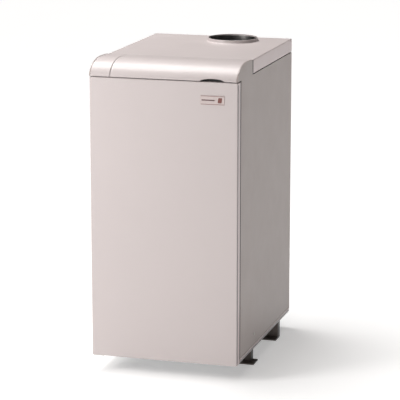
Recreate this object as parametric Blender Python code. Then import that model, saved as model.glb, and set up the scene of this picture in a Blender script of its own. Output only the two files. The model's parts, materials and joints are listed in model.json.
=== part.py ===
"""Floor-standing gas boiler with an atmospheric burner, as separate pieces.

The source is in millimetres and every object is written in metres.
The floor is Z = 0, the door faces -Y, and X = 0 is the middle of the cabinet.
"""

import math

import bmesh
import bpy
from mathutils import Matrix, Vector

MM = 0.001
GAP = 0.3  # air between pieces that touch on the real boiler

# Cabinet
HALF_WIDTH = 210.0
DOOR_FRONT = -314.0
CASE_REAR = DOOR_FRONT + 600.0
CASE_BOTTOM = 50.0
CASE_TOP = 880.0
SHEET = 1.2
FOLD = 14.0
DOOR_DEPTH = 30.0
DOOR_TOP = 839.0
PANEL_FRONT = DOOR_FRONT + 33.0
PANEL_REAR = CASE_REAR - 1.5
PANEL_TOP = 839.5
REAR_PIPE_END = 316.0
FOOT_REACH = 208.0
FOOT_DEPTH = 50.0

# Hood over the controls
HOOD_BOTTOM = 841.0
NOSE_FRONT = DOOR_FRONT - 2.0
NOSE_DEPTH = 88.0
NOSE_HEIGHT = 43.0
HOOD_THICKNESS = 2.5
FLAP_AXIS_Y = DOOR_FRONT + 157.0
FLAP_AXIS_Z = 876.0
BARREL_RADIUS = 5.0
COVER_FRONT = DOOR_FRONT + 163.0
FLAP_LEFT = -149.5
FLAP_RIGHT = 208.3
FLAP_KNUCKLES = (-120.0, 180.0)
KNUCKLE_LENGTH = 12.0
KNUCKLE_RADIUS = 4.7
FLAP_PIN_RADIUS = 2.0
FLAP_LEAF_DROP = 28.0
NOTCH_X = 139.0
NOTCH_HALF = 35.0
NOTCH_HEIGHT = 9.0

# Door hinge and catch
HINGE_X = -202.0
HINGE_Y = DOOR_FRONT + 14.0
HINGE_PIN_RADIUS = 3.0
HINGE_PLATE = 2.2
HINGE_NOSE = 7.0
LOWER_HINGE_REAR = DOOR_FRONT + 75.7
UPPER_HINGE_REAR = DOOR_FRONT + 90.0
CATCH_LEFT = 186.0
CATCH_RIGHT = 204.0
CATCH_BOTTOM = 446.0
CATCH_TOP = 474.0

# Lining and badge of the door
MAT_LEFT = -192.0
MAT_RIGHT = 180.0
MAT_BOTTOM = 72.0
MAT_TOP = 817.0
MAT_THICKNESS = 12.0
BADGE_LEFT = 105.5
BADGE_RIGHT = 173.5
BADGE_BOTTOM = 777.0
BADGE_TOP = 803.0
BADGE_THICKNESS = 1.5

# Base tray, feet and side screws
TRAY_HALF = 195.0
TRAY_SHEET = 1.5
TRAY_FRONT = DOOR_FRONT + 76.0
TRAY_REAR = DOOR_FRONT + 590.0
TRAY_OPENING_HALF = 125.0
TRAY_OPENING_FRONT = DOOR_FRONT + 190.0
TRAY_OPENING_REAR = DOOR_FRONT + 480.0
FRONT_FOOT_Y = DOOR_FRONT + 213.0
REAR_FOOT_Y = DOOR_FRONT + 468.0
FOOT_PLATE = 4.0
WEB_HALF = 193.0
SIDE_SCREW_Y = DOOR_FRONT + 184.0
SIDE_SCREW_Z = CASE_BOTTOM + 44.0
SIDE_SCREW_RADIUS = 4.5

# Sloping control panel, with its own axes: x to the right, y up the slope, z out of the panel
PANEL_SLOPE = math.radians(8.0)
PANEL_ORIGIN = (0.0, DOOR_FRONT + 14.0, 843.0)
PANEL_LENGTH = 134.0
PANEL_THICKNESS = 2.0
CONTROL_ROW = 68.0
GAUGE_X = -92.0
BUTTON_X = -22.0
KNOB_X = 60.0
SWITCH_X = 148.0
GAUGE_PIVOT_OFFSET = 7.0
GAUGE_RADIUS = 30.0
GAUGE_BODY_RADIUS = 27.0
GAUGE_HOLE_RADIUS = 28.0
BUTTON_RADIUS = 6.2
BUTTON_HOLE_RADIUS = 7.0
SPINDLE_RADIUS = 3.5
SPINDLE_HOLE_RADIUS = 5.0
KNOB_RADIUS = 19.0
KNOB_HEIGHT = 16.0
ROCKER_HALF_WIDTH = 9.0
ROCKER_HALF_LENGTH = 10.5
POINTER_LENGTH = 16.0
BOX_FRONT = DOOR_FRONT + 40.0
BOX_REAR = DOOR_FRONT + 156.0
BOX_BOTTOM = 750.0
BOX_TOP = 822.0
BOX_WALL = 1.5
GLAND_X = 160.0
GLAND_Z = 700.0

# Exchanger, chamber and burner
SECTION_COUNT = 4
SECTION_PITCH = 85.0
BODY_HALF = SECTION_COUNT * SECTION_PITCH / 2.0
BODY_FRONT = DOOR_FRONT + 170.0
BODY_REAR = DOOR_FRONT + 520.0
BODY_BOTTOM = 290.0
BODY_TOP = 670.0
FLUEWAY_DEPTH = 30.0
TRAY_TOP = 64.0
BURNER_XS = (-85.0, 0.0, 85.0)
VENTURI_Z = 142.0
MANIFOLD_Y = DOOR_FRONT + 115.0
MANIFOLD_HALF = 12.5
MANIFOLD_REACH = 140.7
MANIFOLD_TOP = 186.0
FRAME_HALF = 167.0
FRAME_FRONT = DOOR_FRONT + 160.0
FRAME_BOTTOM = 98.0
FRAME_PLATE_TOP = 173.0
FRAME_RAIL_TOP = 116.0
FRAME_SHEET = 3.0
BRACKET_X = 141.0
BRACKET_SHEET = 2.0
CROWN_RADIUS = 13.0
CROWN_HEIGHT = 14.0
CROWN_Z = 152.0
BAR_BOTTOM = 122.0
BAR_HALF = 8.0
MOUTH_Y = DOOR_FRONT + 143.0
PILOT_X = 42.0
PILOT_Y = DOOR_FRONT + 186.0
ELECTRODE_X = 60.0
ELECTRODE_BOTTOM = 160.0
ELECTRODE_TOP = 200.0
VALVE_X = 30.0
VALVE_HALF = 36.0
VALVE_BOTTOM = 192.0
VALVE_TOP = 256.0
VALVE_FLANGE_RADIUS = 20.0
VALVE_INLET_X = VALVE_X + 60.0
VALVE_FRONT = MANIFOLD_Y - 30.0
COIL_TOP = 296.0
GRIP_Z = 224.0
GRIP_DEPTH = 16.0
GAS_PIPE_X = 184.0
GAS_PIPE_Z = 225.0
GAS_PIPE_RADIUS = 10.5
GAS_PIPE_BEND = 24.0
CHAMBER_PLATE_FRONT = DOOR_FRONT + 164.0
CHAMBER_PLATE_BOTTOM = 175.0
CHAMBER_WALL = 2.5
SIGHT_X = -60.0
SIGHT_Z = 235.0
SIGHT_RADIUS = 19.0
SIGHT_HOLE_RADIUS = 14.0
WRAP_THICKNESS = 18.0
WATER_PIPE_X = -127.5
FLOW_Z = 625.0
RETURN_Z = 330.0
WATER_PIPE_RADIUS = 21.0
ROD_Y = DOOR_FRONT + 159.0
ROD_ZS = {"tie_rod_upper": 640.0, "tie_rod_lower": 306.0}
ROD_RADIUS = 5.0
ROD_NUT_RADIUS = 9.0

# Flue
FLUE_X = 55.0
FLUE_Y = DOOR_FRONT + 510.0
FLUE_RADIUS = 70.0
FLUE_TOP = 890.0
DIVERTER_TOP = 872.0
RELIEF_WINDOW = ((-45.0, 755.0), (155.0, 815.0))
COLLECTOR_TOP = 742.0
DIVERTER_HALF = 115.0
DIVERTER_FRONT = FLUE_Y - 92.0
DIVERTER_REAR = FLUE_Y + 80.0
COLLAR_FLANGE = FLUE_RADIUS + 9.0
COLLAR_WALL = 1.5
HATCH_HALF = 140.0
HATCH_BOTTOM = 684.0
HATCH_TOP = 732.0
HATCH_NUT_X = 110.0

# Drain cock on the front of the first section
COCK_X = -127.5
COCK_Y = DOOR_FRONT + 142.0
COCK_Z = 352.0
COCK_STEM = 16.0
LEVER_LENGTH = 46.0
LEVER_HALF = 6.0
LEVER_THICKNESS = 3.0


# ---------------------------------------------------------------- making objects

def clear_scene():
    for item in list(bpy.data.objects):
        bpy.data.objects.remove(item)


def finish(name, color, roughness, metallic=0.0):
    made = bpy.data.materials.new(name)
    made.use_nodes = True
    shader = made.node_tree.nodes["Principled BSDF"]
    shader.inputs["Base Color"].default_value = (*color, 1.0)
    shader.inputs["Roughness"].default_value = roughness
    shader.inputs["Metallic"].default_value = metallic
    return made


def add_object(name, shape, surface=None, origin=(0.0, 0.0, 0.0), tilt=0.0, outward=True):
    """Make an object from a shape in millimetres, drawn about its own origin and tilt."""
    if outward:
        bmesh.ops.recalc_face_normals(shape, faces=shape.faces)
    bmesh.ops.scale(shape, vec=(MM, MM, MM), verts=shape.verts)
    mesh = bpy.data.meshes.new(name)
    shape.to_mesh(mesh)
    shape.free()
    mesh.shade_smooth()
    mesh.set_sharp_from_angle(angle=math.radians(35.0))
    if surface:
        mesh.materials.append(surface)
    item = bpy.data.objects.new(name, mesh)
    item.location = Vector(origin) * MM
    item.rotation_euler = (tilt, 0.0, 0.0)
    bpy.context.collection.objects.link(item)
    return item


def combine(item, shape, operation, origin=(0.0, 0.0, 0.0), tilt=0.0):
    """Cut a shape out of an object, or join it on, with a Boolean modifier."""
    tool = add_object(item.name + "_tool", shape, None, origin, tilt)
    tool.hide_render = True
    tool.display_type = "WIRE"
    modifier = item.modifiers.new("combine", "BOOLEAN")
    modifier.operation = operation
    modifier.object = tool


def cut(item, shape, origin=(0.0, 0.0, 0.0), tilt=0.0):
    combine(item, shape, "DIFFERENCE", origin, tilt)


def join(item, shape, origin=(0.0, 0.0, 0.0), tilt=0.0):
    combine(item, shape, "UNION", origin, tilt)


def soften(item, width, segments=1):
    modifier = item.modifiers.new("soften", "BEVEL")
    modifier.width = width * MM
    modifier.segments = segments
    modifier.limit_method = "ANGLE"


def thicken(item, thickness):
    modifier = item.modifiers.new("thicken", "SOLIDIFY")
    modifier.thickness = thickness * MM
    modifier.offset = -1.0
    modifier.solidify_mode = "NON_MANIFOLD"
    modifier.nonmanifold_thickness_mode = "CONSTRAINTS"


# ---------------------------------------------------------------- shapes

def box(low, high):
    shape = bmesh.new()
    size = Vector(high) - Vector(low)
    place = Matrix.Translation((Vector(low) + Vector(high)) / 2.0) @ Matrix.Diagonal((*size, 1.0))
    bmesh.ops.create_cube(shape, size=1.0, matrix=place)
    return shape


def open_box(low, high, side, value):
    """A box of single faces, without the face that lies at one value of x, y or z."""
    shape = box(low, high)
    index = "xyz".index(side)
    lids = [face for face in shape.faces if all(abs(v.co[index] - value) < 0.01 for v in face.verts)]
    bmesh.ops.delete(shape, geom=lids, context="FACES")
    return shape


def prism(outline, axis, start, end):
    """Extrude an outline of two coordinates along x, y or z."""
    index = "xyz".index(axis)
    shape = bmesh.new()
    corners = []
    for point in outline:
        place = list(point)
        place.insert(index, start)
        corners.append(shape.verts.new(place))
    face = shape.faces.new(corners)
    pulled = bmesh.ops.extrude_face_region(shape, geom=[face])
    moved = [part for part in pulled["geom"] if isinstance(part, bmesh.types.BMVert)]
    travel = Vector((0.0, 0.0, 0.0))
    travel[index] = end - start
    bmesh.ops.translate(shape, vec=travel, verts=moved)
    return shape


def turned(profile, centre=(0.0, 0.0, 0.0), axis="z", segments=24, ring=False):
    """Turn a profile of (radius, height) about an axis; a ring's profile closes on itself."""
    shape = bmesh.new()
    rows = []
    for radius, height in profile:
        if radius == 0.0:
            rows.append([shape.verts.new((0.0, 0.0, height))] * segments)
            continue
        row = []
        for step in range(segments):
            angle = 2.0 * math.pi * (step + 0.5) / segments
            row.append(shape.verts.new((radius * math.cos(angle), radius * math.sin(angle), height)))
        rows.append(row)
    pairs = list(zip(rows, rows[1:]))
    if ring:
        pairs.append((rows[-1], rows[0]))
    for low, high in pairs:
        for step in range(segments):
            after = (step + 1) % segments
            corners = [low[step], low[after], high[after], high[step]]
            unique = list(dict.fromkeys(corners))
            if len(unique) > 2:
                shape.faces.new(unique)
    turns = {"z": Matrix.Identity(4), "y": Matrix.Rotation(-math.pi / 2.0, 4, "X"),
             "x": Matrix.Rotation(math.pi / 2.0, 4, "Y")}
    bmesh.ops.transform(shape, matrix=Matrix.Translation(centre) @ turns[axis], verts=shape.verts)
    return shape


def rod(radius, start, end, centre, axis, segments=12):
    """A plain cylinder from start to end along an axis; centre gives its other two coordinates."""
    place = list(centre)
    place.insert("xyz".index(axis), 0.0)
    profile = [(0.0, start), (radius, start), (radius, end), (0.0, end)]
    return turned(profile, place, axis, segments)


def tube(outer, inner, start, end, centre, axis, segments=24):
    place = list(centre)
    place.insert("xyz".index(axis), 0.0)
    profile = [(outer, start), (outer, end), (inner, end), (inner, start)]
    return turned(profile, place, axis, segments, ring=True)


def arc(centre, radii, first, last, steps):
    """Points on an ellipse from one angle to another, in degrees."""
    points = []
    for step in range(steps + 1):
        angle = math.radians(first + (last - first) * step / steps)
        points.append((centre[0] + radii[0] * math.cos(angle), centre[1] + radii[1] * math.sin(angle)))
    return points


def rounded_path(corners, bend, steps=4):
    """A path through corner points whose corners are rounded off."""
    path = [Vector(corners[0])]
    for before, corner, after in zip(corners, corners[1:], corners[2:]):
        corner = Vector(corner)
        start = corner + (Vector(before) - corner).normalized() * bend
        end = corner + (Vector(after) - corner).normalized() * bend
        for step in range(steps + 1):
            part = step / steps
            path.append(start * (1 - part) ** 2 + corner * 2 * part * (1 - part) + end * part ** 2)
    path.append(Vector(corners[-1]))
    return path


def pipe(name, corners, radius, bend, surface, resolution=2):
    """A round pipe along a path, made as a bevelled curve."""
    curve = bpy.data.curves.new(name, "CURVE")
    curve.dimensions = "3D"
    curve.bevel_depth = radius * MM
    curve.bevel_resolution = resolution
    curve.use_fill_caps = True
    path = rounded_path(corners, bend)
    spline = curve.splines.new("POLY")
    spline.points.add(len(path) - 1)
    for point, place in zip(spline.points, path):
        point.co = (*(place * MM), 1.0)
    curve.materials.append(surface)
    item = bpy.data.objects.new(name, curve)
    bpy.context.collection.objects.link(item)
    return item


# ---------------------------------------------------------------- casing

def hood_surface(inset):
    """The hood from its lower front edge to the top of its rear barrel, as (y, z) points."""
    centre = (NOSE_FRONT + NOSE_DEPTH, HOOD_BOTTOM)
    points = arc(centre, (NOSE_DEPTH - inset, NOSE_HEIGHT - inset), 180.0, 90.0, 10)
    crown = HOOD_BOTTOM + NOSE_HEIGHT - inset
    drop = crown + inset - (FLAP_AXIS_Z + BARREL_RADIUS)
    run = FLAP_AXIS_Y - centre[0]
    for step in range(1, 5):
        part = step / 4.0
        points.append((centre[0] + run * part, crown - drop * part ** 2))
    return points


def hood_outline():
    """A hood sheet that ends in a barrel round the flap's hinge axis."""
    barrel = arc((FLAP_AXIS_Y, FLAP_AXIS_Z), (BARREL_RADIUS, BARREL_RADIUS), 70.0, -210.0, 10)
    inner = hood_surface(HOOD_THICKNESS)
    inner.reverse()
    return hood_surface(0.0) + barrel + inner[1:]


def side_panel(name, side, surface):
    """A sheet with folded front, bottom and rear edges and a raised cheek beside the hood."""
    shape = bmesh.new()
    outer = side * HALF_WIDTH
    inner = side * (HALF_WIDTH - FOLD)
    fold_top = DOOR_TOP - 1.0
    cheek = hood_surface(0.0) + [(COVER_FRONT - 1.2, FLAP_AXIS_Z + BARREL_RADIUS - 0.4)]
    cheek.append((COVER_FRONT - 1.2, PANEL_TOP))
    outline = [(PANEL_FRONT, CASE_BOTTOM), (PANEL_FRONT, fold_top), (PANEL_FRONT, HOOD_BOTTOM)]
    outline += cheek + [(PANEL_REAR, PANEL_TOP), (PANEL_REAR, CASE_BOTTOM)]
    corners = [shape.verts.new((outer, y, z)) for y, z in outline]
    shape.faces.new(corners)
    folded = [corners[1], corners[0], corners[-1], corners[-2]]
    edges = [shape.verts.new((inner, v.co.y, v.co.z)) for v in folded]
    for step in range(3):
        shape.faces.new([folded[step], edges[step], edges[step + 1], folded[step + 1]])
    bmesh.ops.recalc_face_normals(shape, faces=shape.faces)
    if shape.faces[0].normal.x * side < 0.0:
        bmesh.ops.reverse_faces(shape, faces=shape.faces)
    item = add_object(name, shape, surface, outward=False)
    thicken(item, SHEET)


def casing(enamel, galvanised, black_steel, zinc):
    side_panel("side_panel_left", -1.0, enamel)
    side_panel("side_panel_right", 1.0, enamel)

    cover = add_object("top_cover", open_box((-HALF_WIDTH, COVER_FRONT, HOOD_BOTTOM),
                                             (HALF_WIDTH, CASE_REAR, CASE_TOP), "z", HOOD_BOTTOM), enamel)
    soften(cover, 3.0, 2)
    thicken(cover, SHEET)
    cut(cover, rod(FLUE_RADIUS + 1.5, CASE_TOP - 20.0, CASE_TOP + 20.0, (FLUE_X, FLUE_Y), "z", 36))

    strip_right = FLAP_LEFT - 1.5
    add_object("hood_end_piece", prism(hood_outline(), "x", -HALF_WIDTH + SHEET + 0.5, strip_right), enamel)

    flap = add_object("control_flap", prism(shifted(hood_outline(), FLAP_AXIS_Y, FLAP_AXIS_Z), "x",
                                            FLAP_LEFT, FLAP_RIGHT),
                      enamel, (0.0, FLAP_AXIS_Y, FLAP_AXIS_Z))
    notch = arc((NOTCH_X, HOOD_BOTTOM - 1.0), (NOTCH_HALF, NOTCH_HEIGHT), 0.0, 180.0, 8)
    cut(flap, prism(notch, "y", NOSE_FRONT - 10.0, NOSE_FRONT + 12.0))
    reach = BARREL_RADIUS + 1.0
    for left in FLAP_KNUCKLES:
        cut(flap, box((left, FLAP_AXIS_Y - reach, FLAP_AXIS_Z - reach),
                      (left + KNUCKLE_LENGTH, FLAP_AXIS_Y + reach, FLAP_AXIS_Z + reach)))
        cut(flap, rod(FLAP_PIN_RADIUS + 0.2, left - 8.5, left + KNUCKLE_LENGTH + 8.5,
                      (FLAP_AXIS_Y, FLAP_AXIS_Z), "x"))
    for name, left in zip(("flap_hinge_left", "flap_hinge_right"), FLAP_KNUCKLES):
        low = left + GAP
        high = left + KNUCKLE_LENGTH - GAP
        hinge = add_object(name, rod(KNUCKLE_RADIUS, low, high, (FLAP_AXIS_Y, FLAP_AXIS_Z), "x"), zinc)
        join(hinge, box((low, COVER_FRONT - 2.5, FLAP_AXIS_Z - FLAP_LEAF_DROP),
                        (high, COVER_FRONT - GAP, FLAP_AXIS_Z)))
        join(hinge, rod(FLAP_PIN_RADIUS, left - 8.0, left + KNUCKLE_LENGTH + 8.0,
                        (FLAP_AXIS_Y, FLAP_AXIS_Z), "x"))

    back = add_object("rear_panel", box((-HALF_WIDTH + 6.0, CASE_REAR - SHEET, CASE_BOTTOM + 2.0),
                                        (HALF_WIDTH - 6.0, CASE_REAR, PANEL_TOP)), galvanised)
    cut(back, box((RELIEF_WINDOW[0][0], CASE_REAR - 20.0, RELIEF_WINDOW[0][1]),
                  (RELIEF_WINDOW[1][0], CASE_REAR + 20.0, RELIEF_WINDOW[1][1])))
    for x, z, radius in ((WATER_PIPE_X, FLOW_Z, 24.0), (WATER_PIPE_X, RETURN_Z, 24.0),
                         (GAS_PIPE_X, GAS_PIPE_Z, 13.0)):
        cut(back, rod(radius, CASE_REAR - 20.0, CASE_REAR + 20.0, (x, z), "y", 16))

    tray_bottom = CASE_BOTTOM + 3.0
    tray = add_object("base_tray", open_box((-TRAY_HALF, TRAY_FRONT, tray_bottom),
                                            (TRAY_HALF, TRAY_REAR, TRAY_TOP), "z", tray_bottom), galvanised)
    thicken(tray, TRAY_SHEET)
    cut(tray, box((-TRAY_OPENING_HALF, TRAY_OPENING_FRONT, CASE_BOTTOM - 20.0),
                  (TRAY_OPENING_HALF, TRAY_OPENING_REAR, CASE_BOTTOM + 40.0)))

    foot("front_foot", FRONT_FOOT_Y, FOOT_REACH - FOLD, black_steel)
    foot("rear_foot", REAR_FOOT_Y, FOOT_REACH, black_steel)

    for name, side in (("side_screw_left", -1.0), ("side_screw_right", 1.0)):
        head = [(0.0, 0.0), (SIDE_SCREW_RADIUS, 0.0), (SIDE_SCREW_RADIUS, 0.5), (3.0, 1.2), (0.0, 1.2)]
        screw = turned(head, axis="x", segments=16)
        if side < 0.0:
            bmesh.ops.scale(screw, vec=(-1.0, 1.0, 1.0), verts=screw.verts)
        add_object(name, screw, zinc, (side * (HALF_WIDTH + GAP), SIDE_SCREW_Y, SIDE_SCREW_Z))


def shifted(outline, away, down):
    return [(first - away, second - down) for first, second in outline]


def foot(name, web, web_reach, surface):
    """A steel profile across the boiler: floor leaf, upright web with end lips, leaf under the tray."""
    plate = FOOT_PLATE
    top = TRAY_TOP - TRAY_SHEET - GAP
    front = web - FOOT_DEPTH / 2.0
    back = web + FOOT_DEPTH / 2.0
    shoulder = CASE_BOTTOM - 0.5
    item = add_object(name, box((-FOOT_REACH, front, 0.0), (FOOT_REACH, back, plate)), surface)
    base = plate - 1.0
    upright = [(web, base), (web + plate, base), (web + plate, top - plate), (back, top - plate),
               (back, top), (web, top)]
    join(item, prism(upright, "x", -WEB_HALF, WEB_HALF))
    for side in (-1.0, 1.0):
        if web_reach > WEB_HALF:
            join(item, box((side * (WEB_HALF - 3.0), web, base), (side * web_reach, web + plate, shoulder)))
        join(item, box((side * (web_reach - plate), web, base), (side * web_reach, back - 0.5, shoulder)))
        cut(item, rod(6.0, web - 20.0, web + 20.0, (side * (web_reach - 30.0), 24.0), "y", 12))


# ---------------------------------------------------------------- door

def door(enamel, foil, steel, black, trim):
    axis = (HINGE_X, HINGE_Y, 0.0)
    low = Vector((-HALF_WIDTH, DOOR_FRONT, CASE_BOTTOM)) - Vector(axis)
    high = Vector((HALF_WIDTH, DOOR_FRONT + DOOR_DEPTH, DOOR_TOP)) - Vector(axis)
    pan = add_object("door_panel", open_box(low, high, "y", high.y), enamel, axis)
    soften(pan, 3.0, 2)
    thicken(pan, SHEET)
    for z in (CASE_BOTTOM, DOOR_TOP):
        cut(pan, rod(HINGE_PIN_RADIUS + 0.2, z - 15.0, z + 15.0, (HINGE_X, HINGE_Y), "z"))

    back = DOOR_FRONT + SHEET + GAP
    mat = box((MAT_LEFT, back, MAT_BOTTOM), (MAT_RIGHT, back + MAT_THICKNESS, MAT_TOP))
    bmesh.ops.translate(mat, vec=-Vector(axis), verts=mat.verts)
    soften(add_object("door_insulation", mat, foil, axis), 3.0)

    badge = box((BADGE_LEFT, DOOR_FRONT - BADGE_THICKNESS, BADGE_BOTTOM),
                (BADGE_RIGHT, DOOR_FRONT - GAP, BADGE_TOP))
    bmesh.ops.translate(badge, vec=-Vector(axis), verts=badge.verts)
    soften(add_object("door_badge", badge, trim, axis), 0.5)

    catch = add_object("magnet_catch", box((CATCH_LEFT, back, CATCH_BOTTOM),
                                           (CATCH_RIGHT, PANEL_FRONT - GAP, CATCH_TOP)), black)
    soften(catch, 1.5)

    hinge_front = HINGE_Y - HINGE_NOSE
    arm_top = CASE_BOTTOM - 0.6
    arm_bottom = arm_top - HINGE_PLATE
    lug_top = CASE_BOTTOM + 13.0
    lug_front = LOWER_HINGE_REAR - 2.0
    lower = add_object("door_hinge_lower", prism(
        [(hinge_front, arm_bottom), (LOWER_HINGE_REAR, arm_bottom), (LOWER_HINGE_REAR, lug_top),
         (lug_front, lug_top), (lug_front, arm_top), (hinge_front, arm_top)], "x", -194.5, -178.0), steel)
    join(lower, box((-209.0, hinge_front, arm_bottom), (-190.0, HINGE_Y + 30.0, arm_top)))
    join(lower, rod(HINGE_PIN_RADIUS, CASE_BOTTOM - 2.0, CASE_BOTTOM + 14.0, (HINGE_X, HINGE_Y), "z"))

    arm_top = DOOR_TOP + 2.8
    upper = add_object("door_hinge_upper", box((-208.3, hinge_front, DOOR_TOP + 0.8),
                                               (-192.0, UPPER_HINGE_REAR, arm_top)), steel)
    join(upper, box((-208.3, UPPER_HINGE_REAR - 45.0, 800.0), (-206.3, UPPER_HINGE_REAR, arm_top)))
    join(upper, rod(HINGE_PIN_RADIUS, DOOR_TOP - 14.0, DOOR_TOP + 2.0, (HINGE_X, HINGE_Y), "z"))


# ---------------------------------------------------------------- burner assembly

def burner(stainless, galvanised, brass, cast_alloy, black, steel_pipe, ceramic, glass):
    front = FRAME_FRONT
    rear = BODY_REAR - 12.0
    inner = FRAME_HALF - FRAME_SHEET
    frame = add_object("burner_frame", box((-FRAME_HALF, front, FRAME_BOTTOM),
                                           (FRAME_HALF, rear, FRAME_RAIL_TOP)), galvanised)
    cut(frame, box((-inner, front + FRAME_SHEET, FRAME_BOTTOM - 38.0),
                   (inner, rear - FRAME_SHEET, FRAME_RAIL_TOP + 24.0)))
    join(frame, box((-FRAME_HALF, front - 2.0, FRAME_BOTTOM), (FRAME_HALF, front + 1.0, FRAME_PLATE_TOP)))
    for side in (-1.0, 1.0):
        join(frame, box((side * (BRACKET_X + BRACKET_SHEET), MANIFOLD_Y - MANIFOLD_HALF, VENTURI_Z - 20.0),
                        (side * BRACKET_X, front, VENTURI_Z + 20.0)))
    for x in BURNER_XS:
        cut(frame, rod(16.5, front - 10.0, front + 10.0, (x, VENTURI_Z), "y", 24))
    cut(frame, rod(4.0, front - 10.0, front + 10.0, (PILOT_X, 165.0), "y", 12))

    for number, x in enumerate(BURNER_XS, 1):
        burner_bar("burner_bar_%d" % number, x, stainless)
        base = MANIFOLD_Y + MANIFOLD_HALF + GAP
        nozzle = [(0.0, base), (6.0, base), (6.0, base + 5.0), (3.5, base + 6.0), (2.5, base + 11.0),
                  (0.0, base + 11.0)]
        add_object("injector_%d" % number, turned(nozzle, (x, 0.0, VENTURI_Z), "y", 12), brass)

    low = Vector((-MANIFOLD_REACH, MANIFOLD_Y - MANIFOLD_HALF, VENTURI_Z - MANIFOLD_HALF))
    high = Vector((MANIFOLD_REACH, MANIFOLD_Y + MANIFOLD_HALF, VENTURI_Z + MANIFOLD_HALF))
    manifold = add_object("gas_manifold", box(low, high), steel_pipe)
    soften(manifold, 3.0)
    join(manifold, rod(11.0, VENTURI_Z, MANIFOLD_TOP, (VALVE_X, MANIFOLD_Y), "z", 20))
    join(manifold, rod(VALVE_FLANGE_RADIUS, MANIFOLD_TOP - 5.0, MANIFOLD_TOP, (VALVE_X, MANIFOLD_Y), "z", 20))

    gas_valve(cast_alloy, black)

    route = [(VALVE_INLET_X + GAP, MANIFOLD_Y, GAS_PIPE_Z), (GAS_PIPE_X, MANIFOLD_Y, GAS_PIPE_Z),
             (GAS_PIPE_X, REAR_PIPE_END, GAS_PIPE_Z)]
    pipe("gas_inlet_pipe", route, GAS_PIPE_RADIUS, GAS_PIPE_BEND, steel_pipe, 4)

    pilot = add_object("pilot_burner", box((PILOT_X - 10.0, PILOT_Y - 8.0, 176.0),
                                           (PILOT_X + 12.0, PILOT_Y + 8.0, 179.0)), steel_pipe)
    join(pilot, rod(5.0, 168.0, 192.0, (PILOT_X, PILOT_Y), "z", 12))
    join(pilot, box((PILOT_X - 6.0, PILOT_Y + 2.0, 188.0), (PILOT_X + 6.0, PILOT_Y + 16.0, 190.5)))
    low = ELECTRODE_BOTTOM
    electrode = [(0.0, low), (2.0, low), (2.0, low + 5.0), (4.0, low + 6.0), (4.0, low + 26.0),
                 (1.2, low + 27.0), (1.2, ELECTRODE_TOP), (0.0, ELECTRODE_TOP)]
    add_object("ignition_electrode", turned(electrode, (ELECTRODE_X, PILOT_Y, 0.0), "z", 12), ceramic)

    face = CHAMBER_PLATE_FRONT
    low = (-BODY_HALF, face, CHAMBER_PLATE_BOTTOM)
    high = (BODY_HALF, BODY_FRONT - 0.6, BODY_BOTTOM - GAP)
    plate = add_object("chamber_front_plate", box(low, high), cast_alloy)
    cut(plate, rod(SIGHT_HOLE_RADIUS, face - 10.0, face + 20.0, (SIGHT_X, SIGHT_Z), "y", 24))
    sleeve = SIGHT_HOLE_RADIUS - GAP
    sight = [(0.0, face + 1.5), (sleeve, face + 1.5), (sleeve, face - GAP), (SIGHT_RADIUS, face - GAP),
             (SIGHT_RADIUS, face - 3.0), (11.0, face - 4.0), (11.0, face - 1.0), (0.0, face - 1.0)]
    add_object("sight_glass", turned(sight, (SIGHT_X, 0.0, SIGHT_Z), "y", 16), glass)


def burner_bar(name, x, surface):
    """A stainless bar with a rounded crown and a funnel-shaped air inlet at its front."""
    start = BODY_FRONT + 14.0
    crown = arc((x, CROWN_Z), (CROWN_RADIUS, CROWN_HEIGHT), 0.0, 180.0, 8)
    outline = [(x - BAR_HALF, BAR_BOTTOM), (x + BAR_HALF, BAR_BOTTOM)] + crown
    bar = add_object(name, prism(outline, "y", start, BODY_REAR - 24.0), surface)
    mouth = MOUTH_Y
    funnel = [(0.0, start + 12.0), (10.0, start + 12.0), (9.0, mouth + 18.0), (11.0, mouth + 8.0),
              (16.0, mouth), (14.5, mouth), (9.5, mouth + 8.0), (7.5, mouth + 18.0), (7.5, start + 6.0),
              (0.0, start + 6.0)]
    join(bar, turned(funnel, (x, 0.0, VENTURI_Z), "y", 12))


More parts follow.
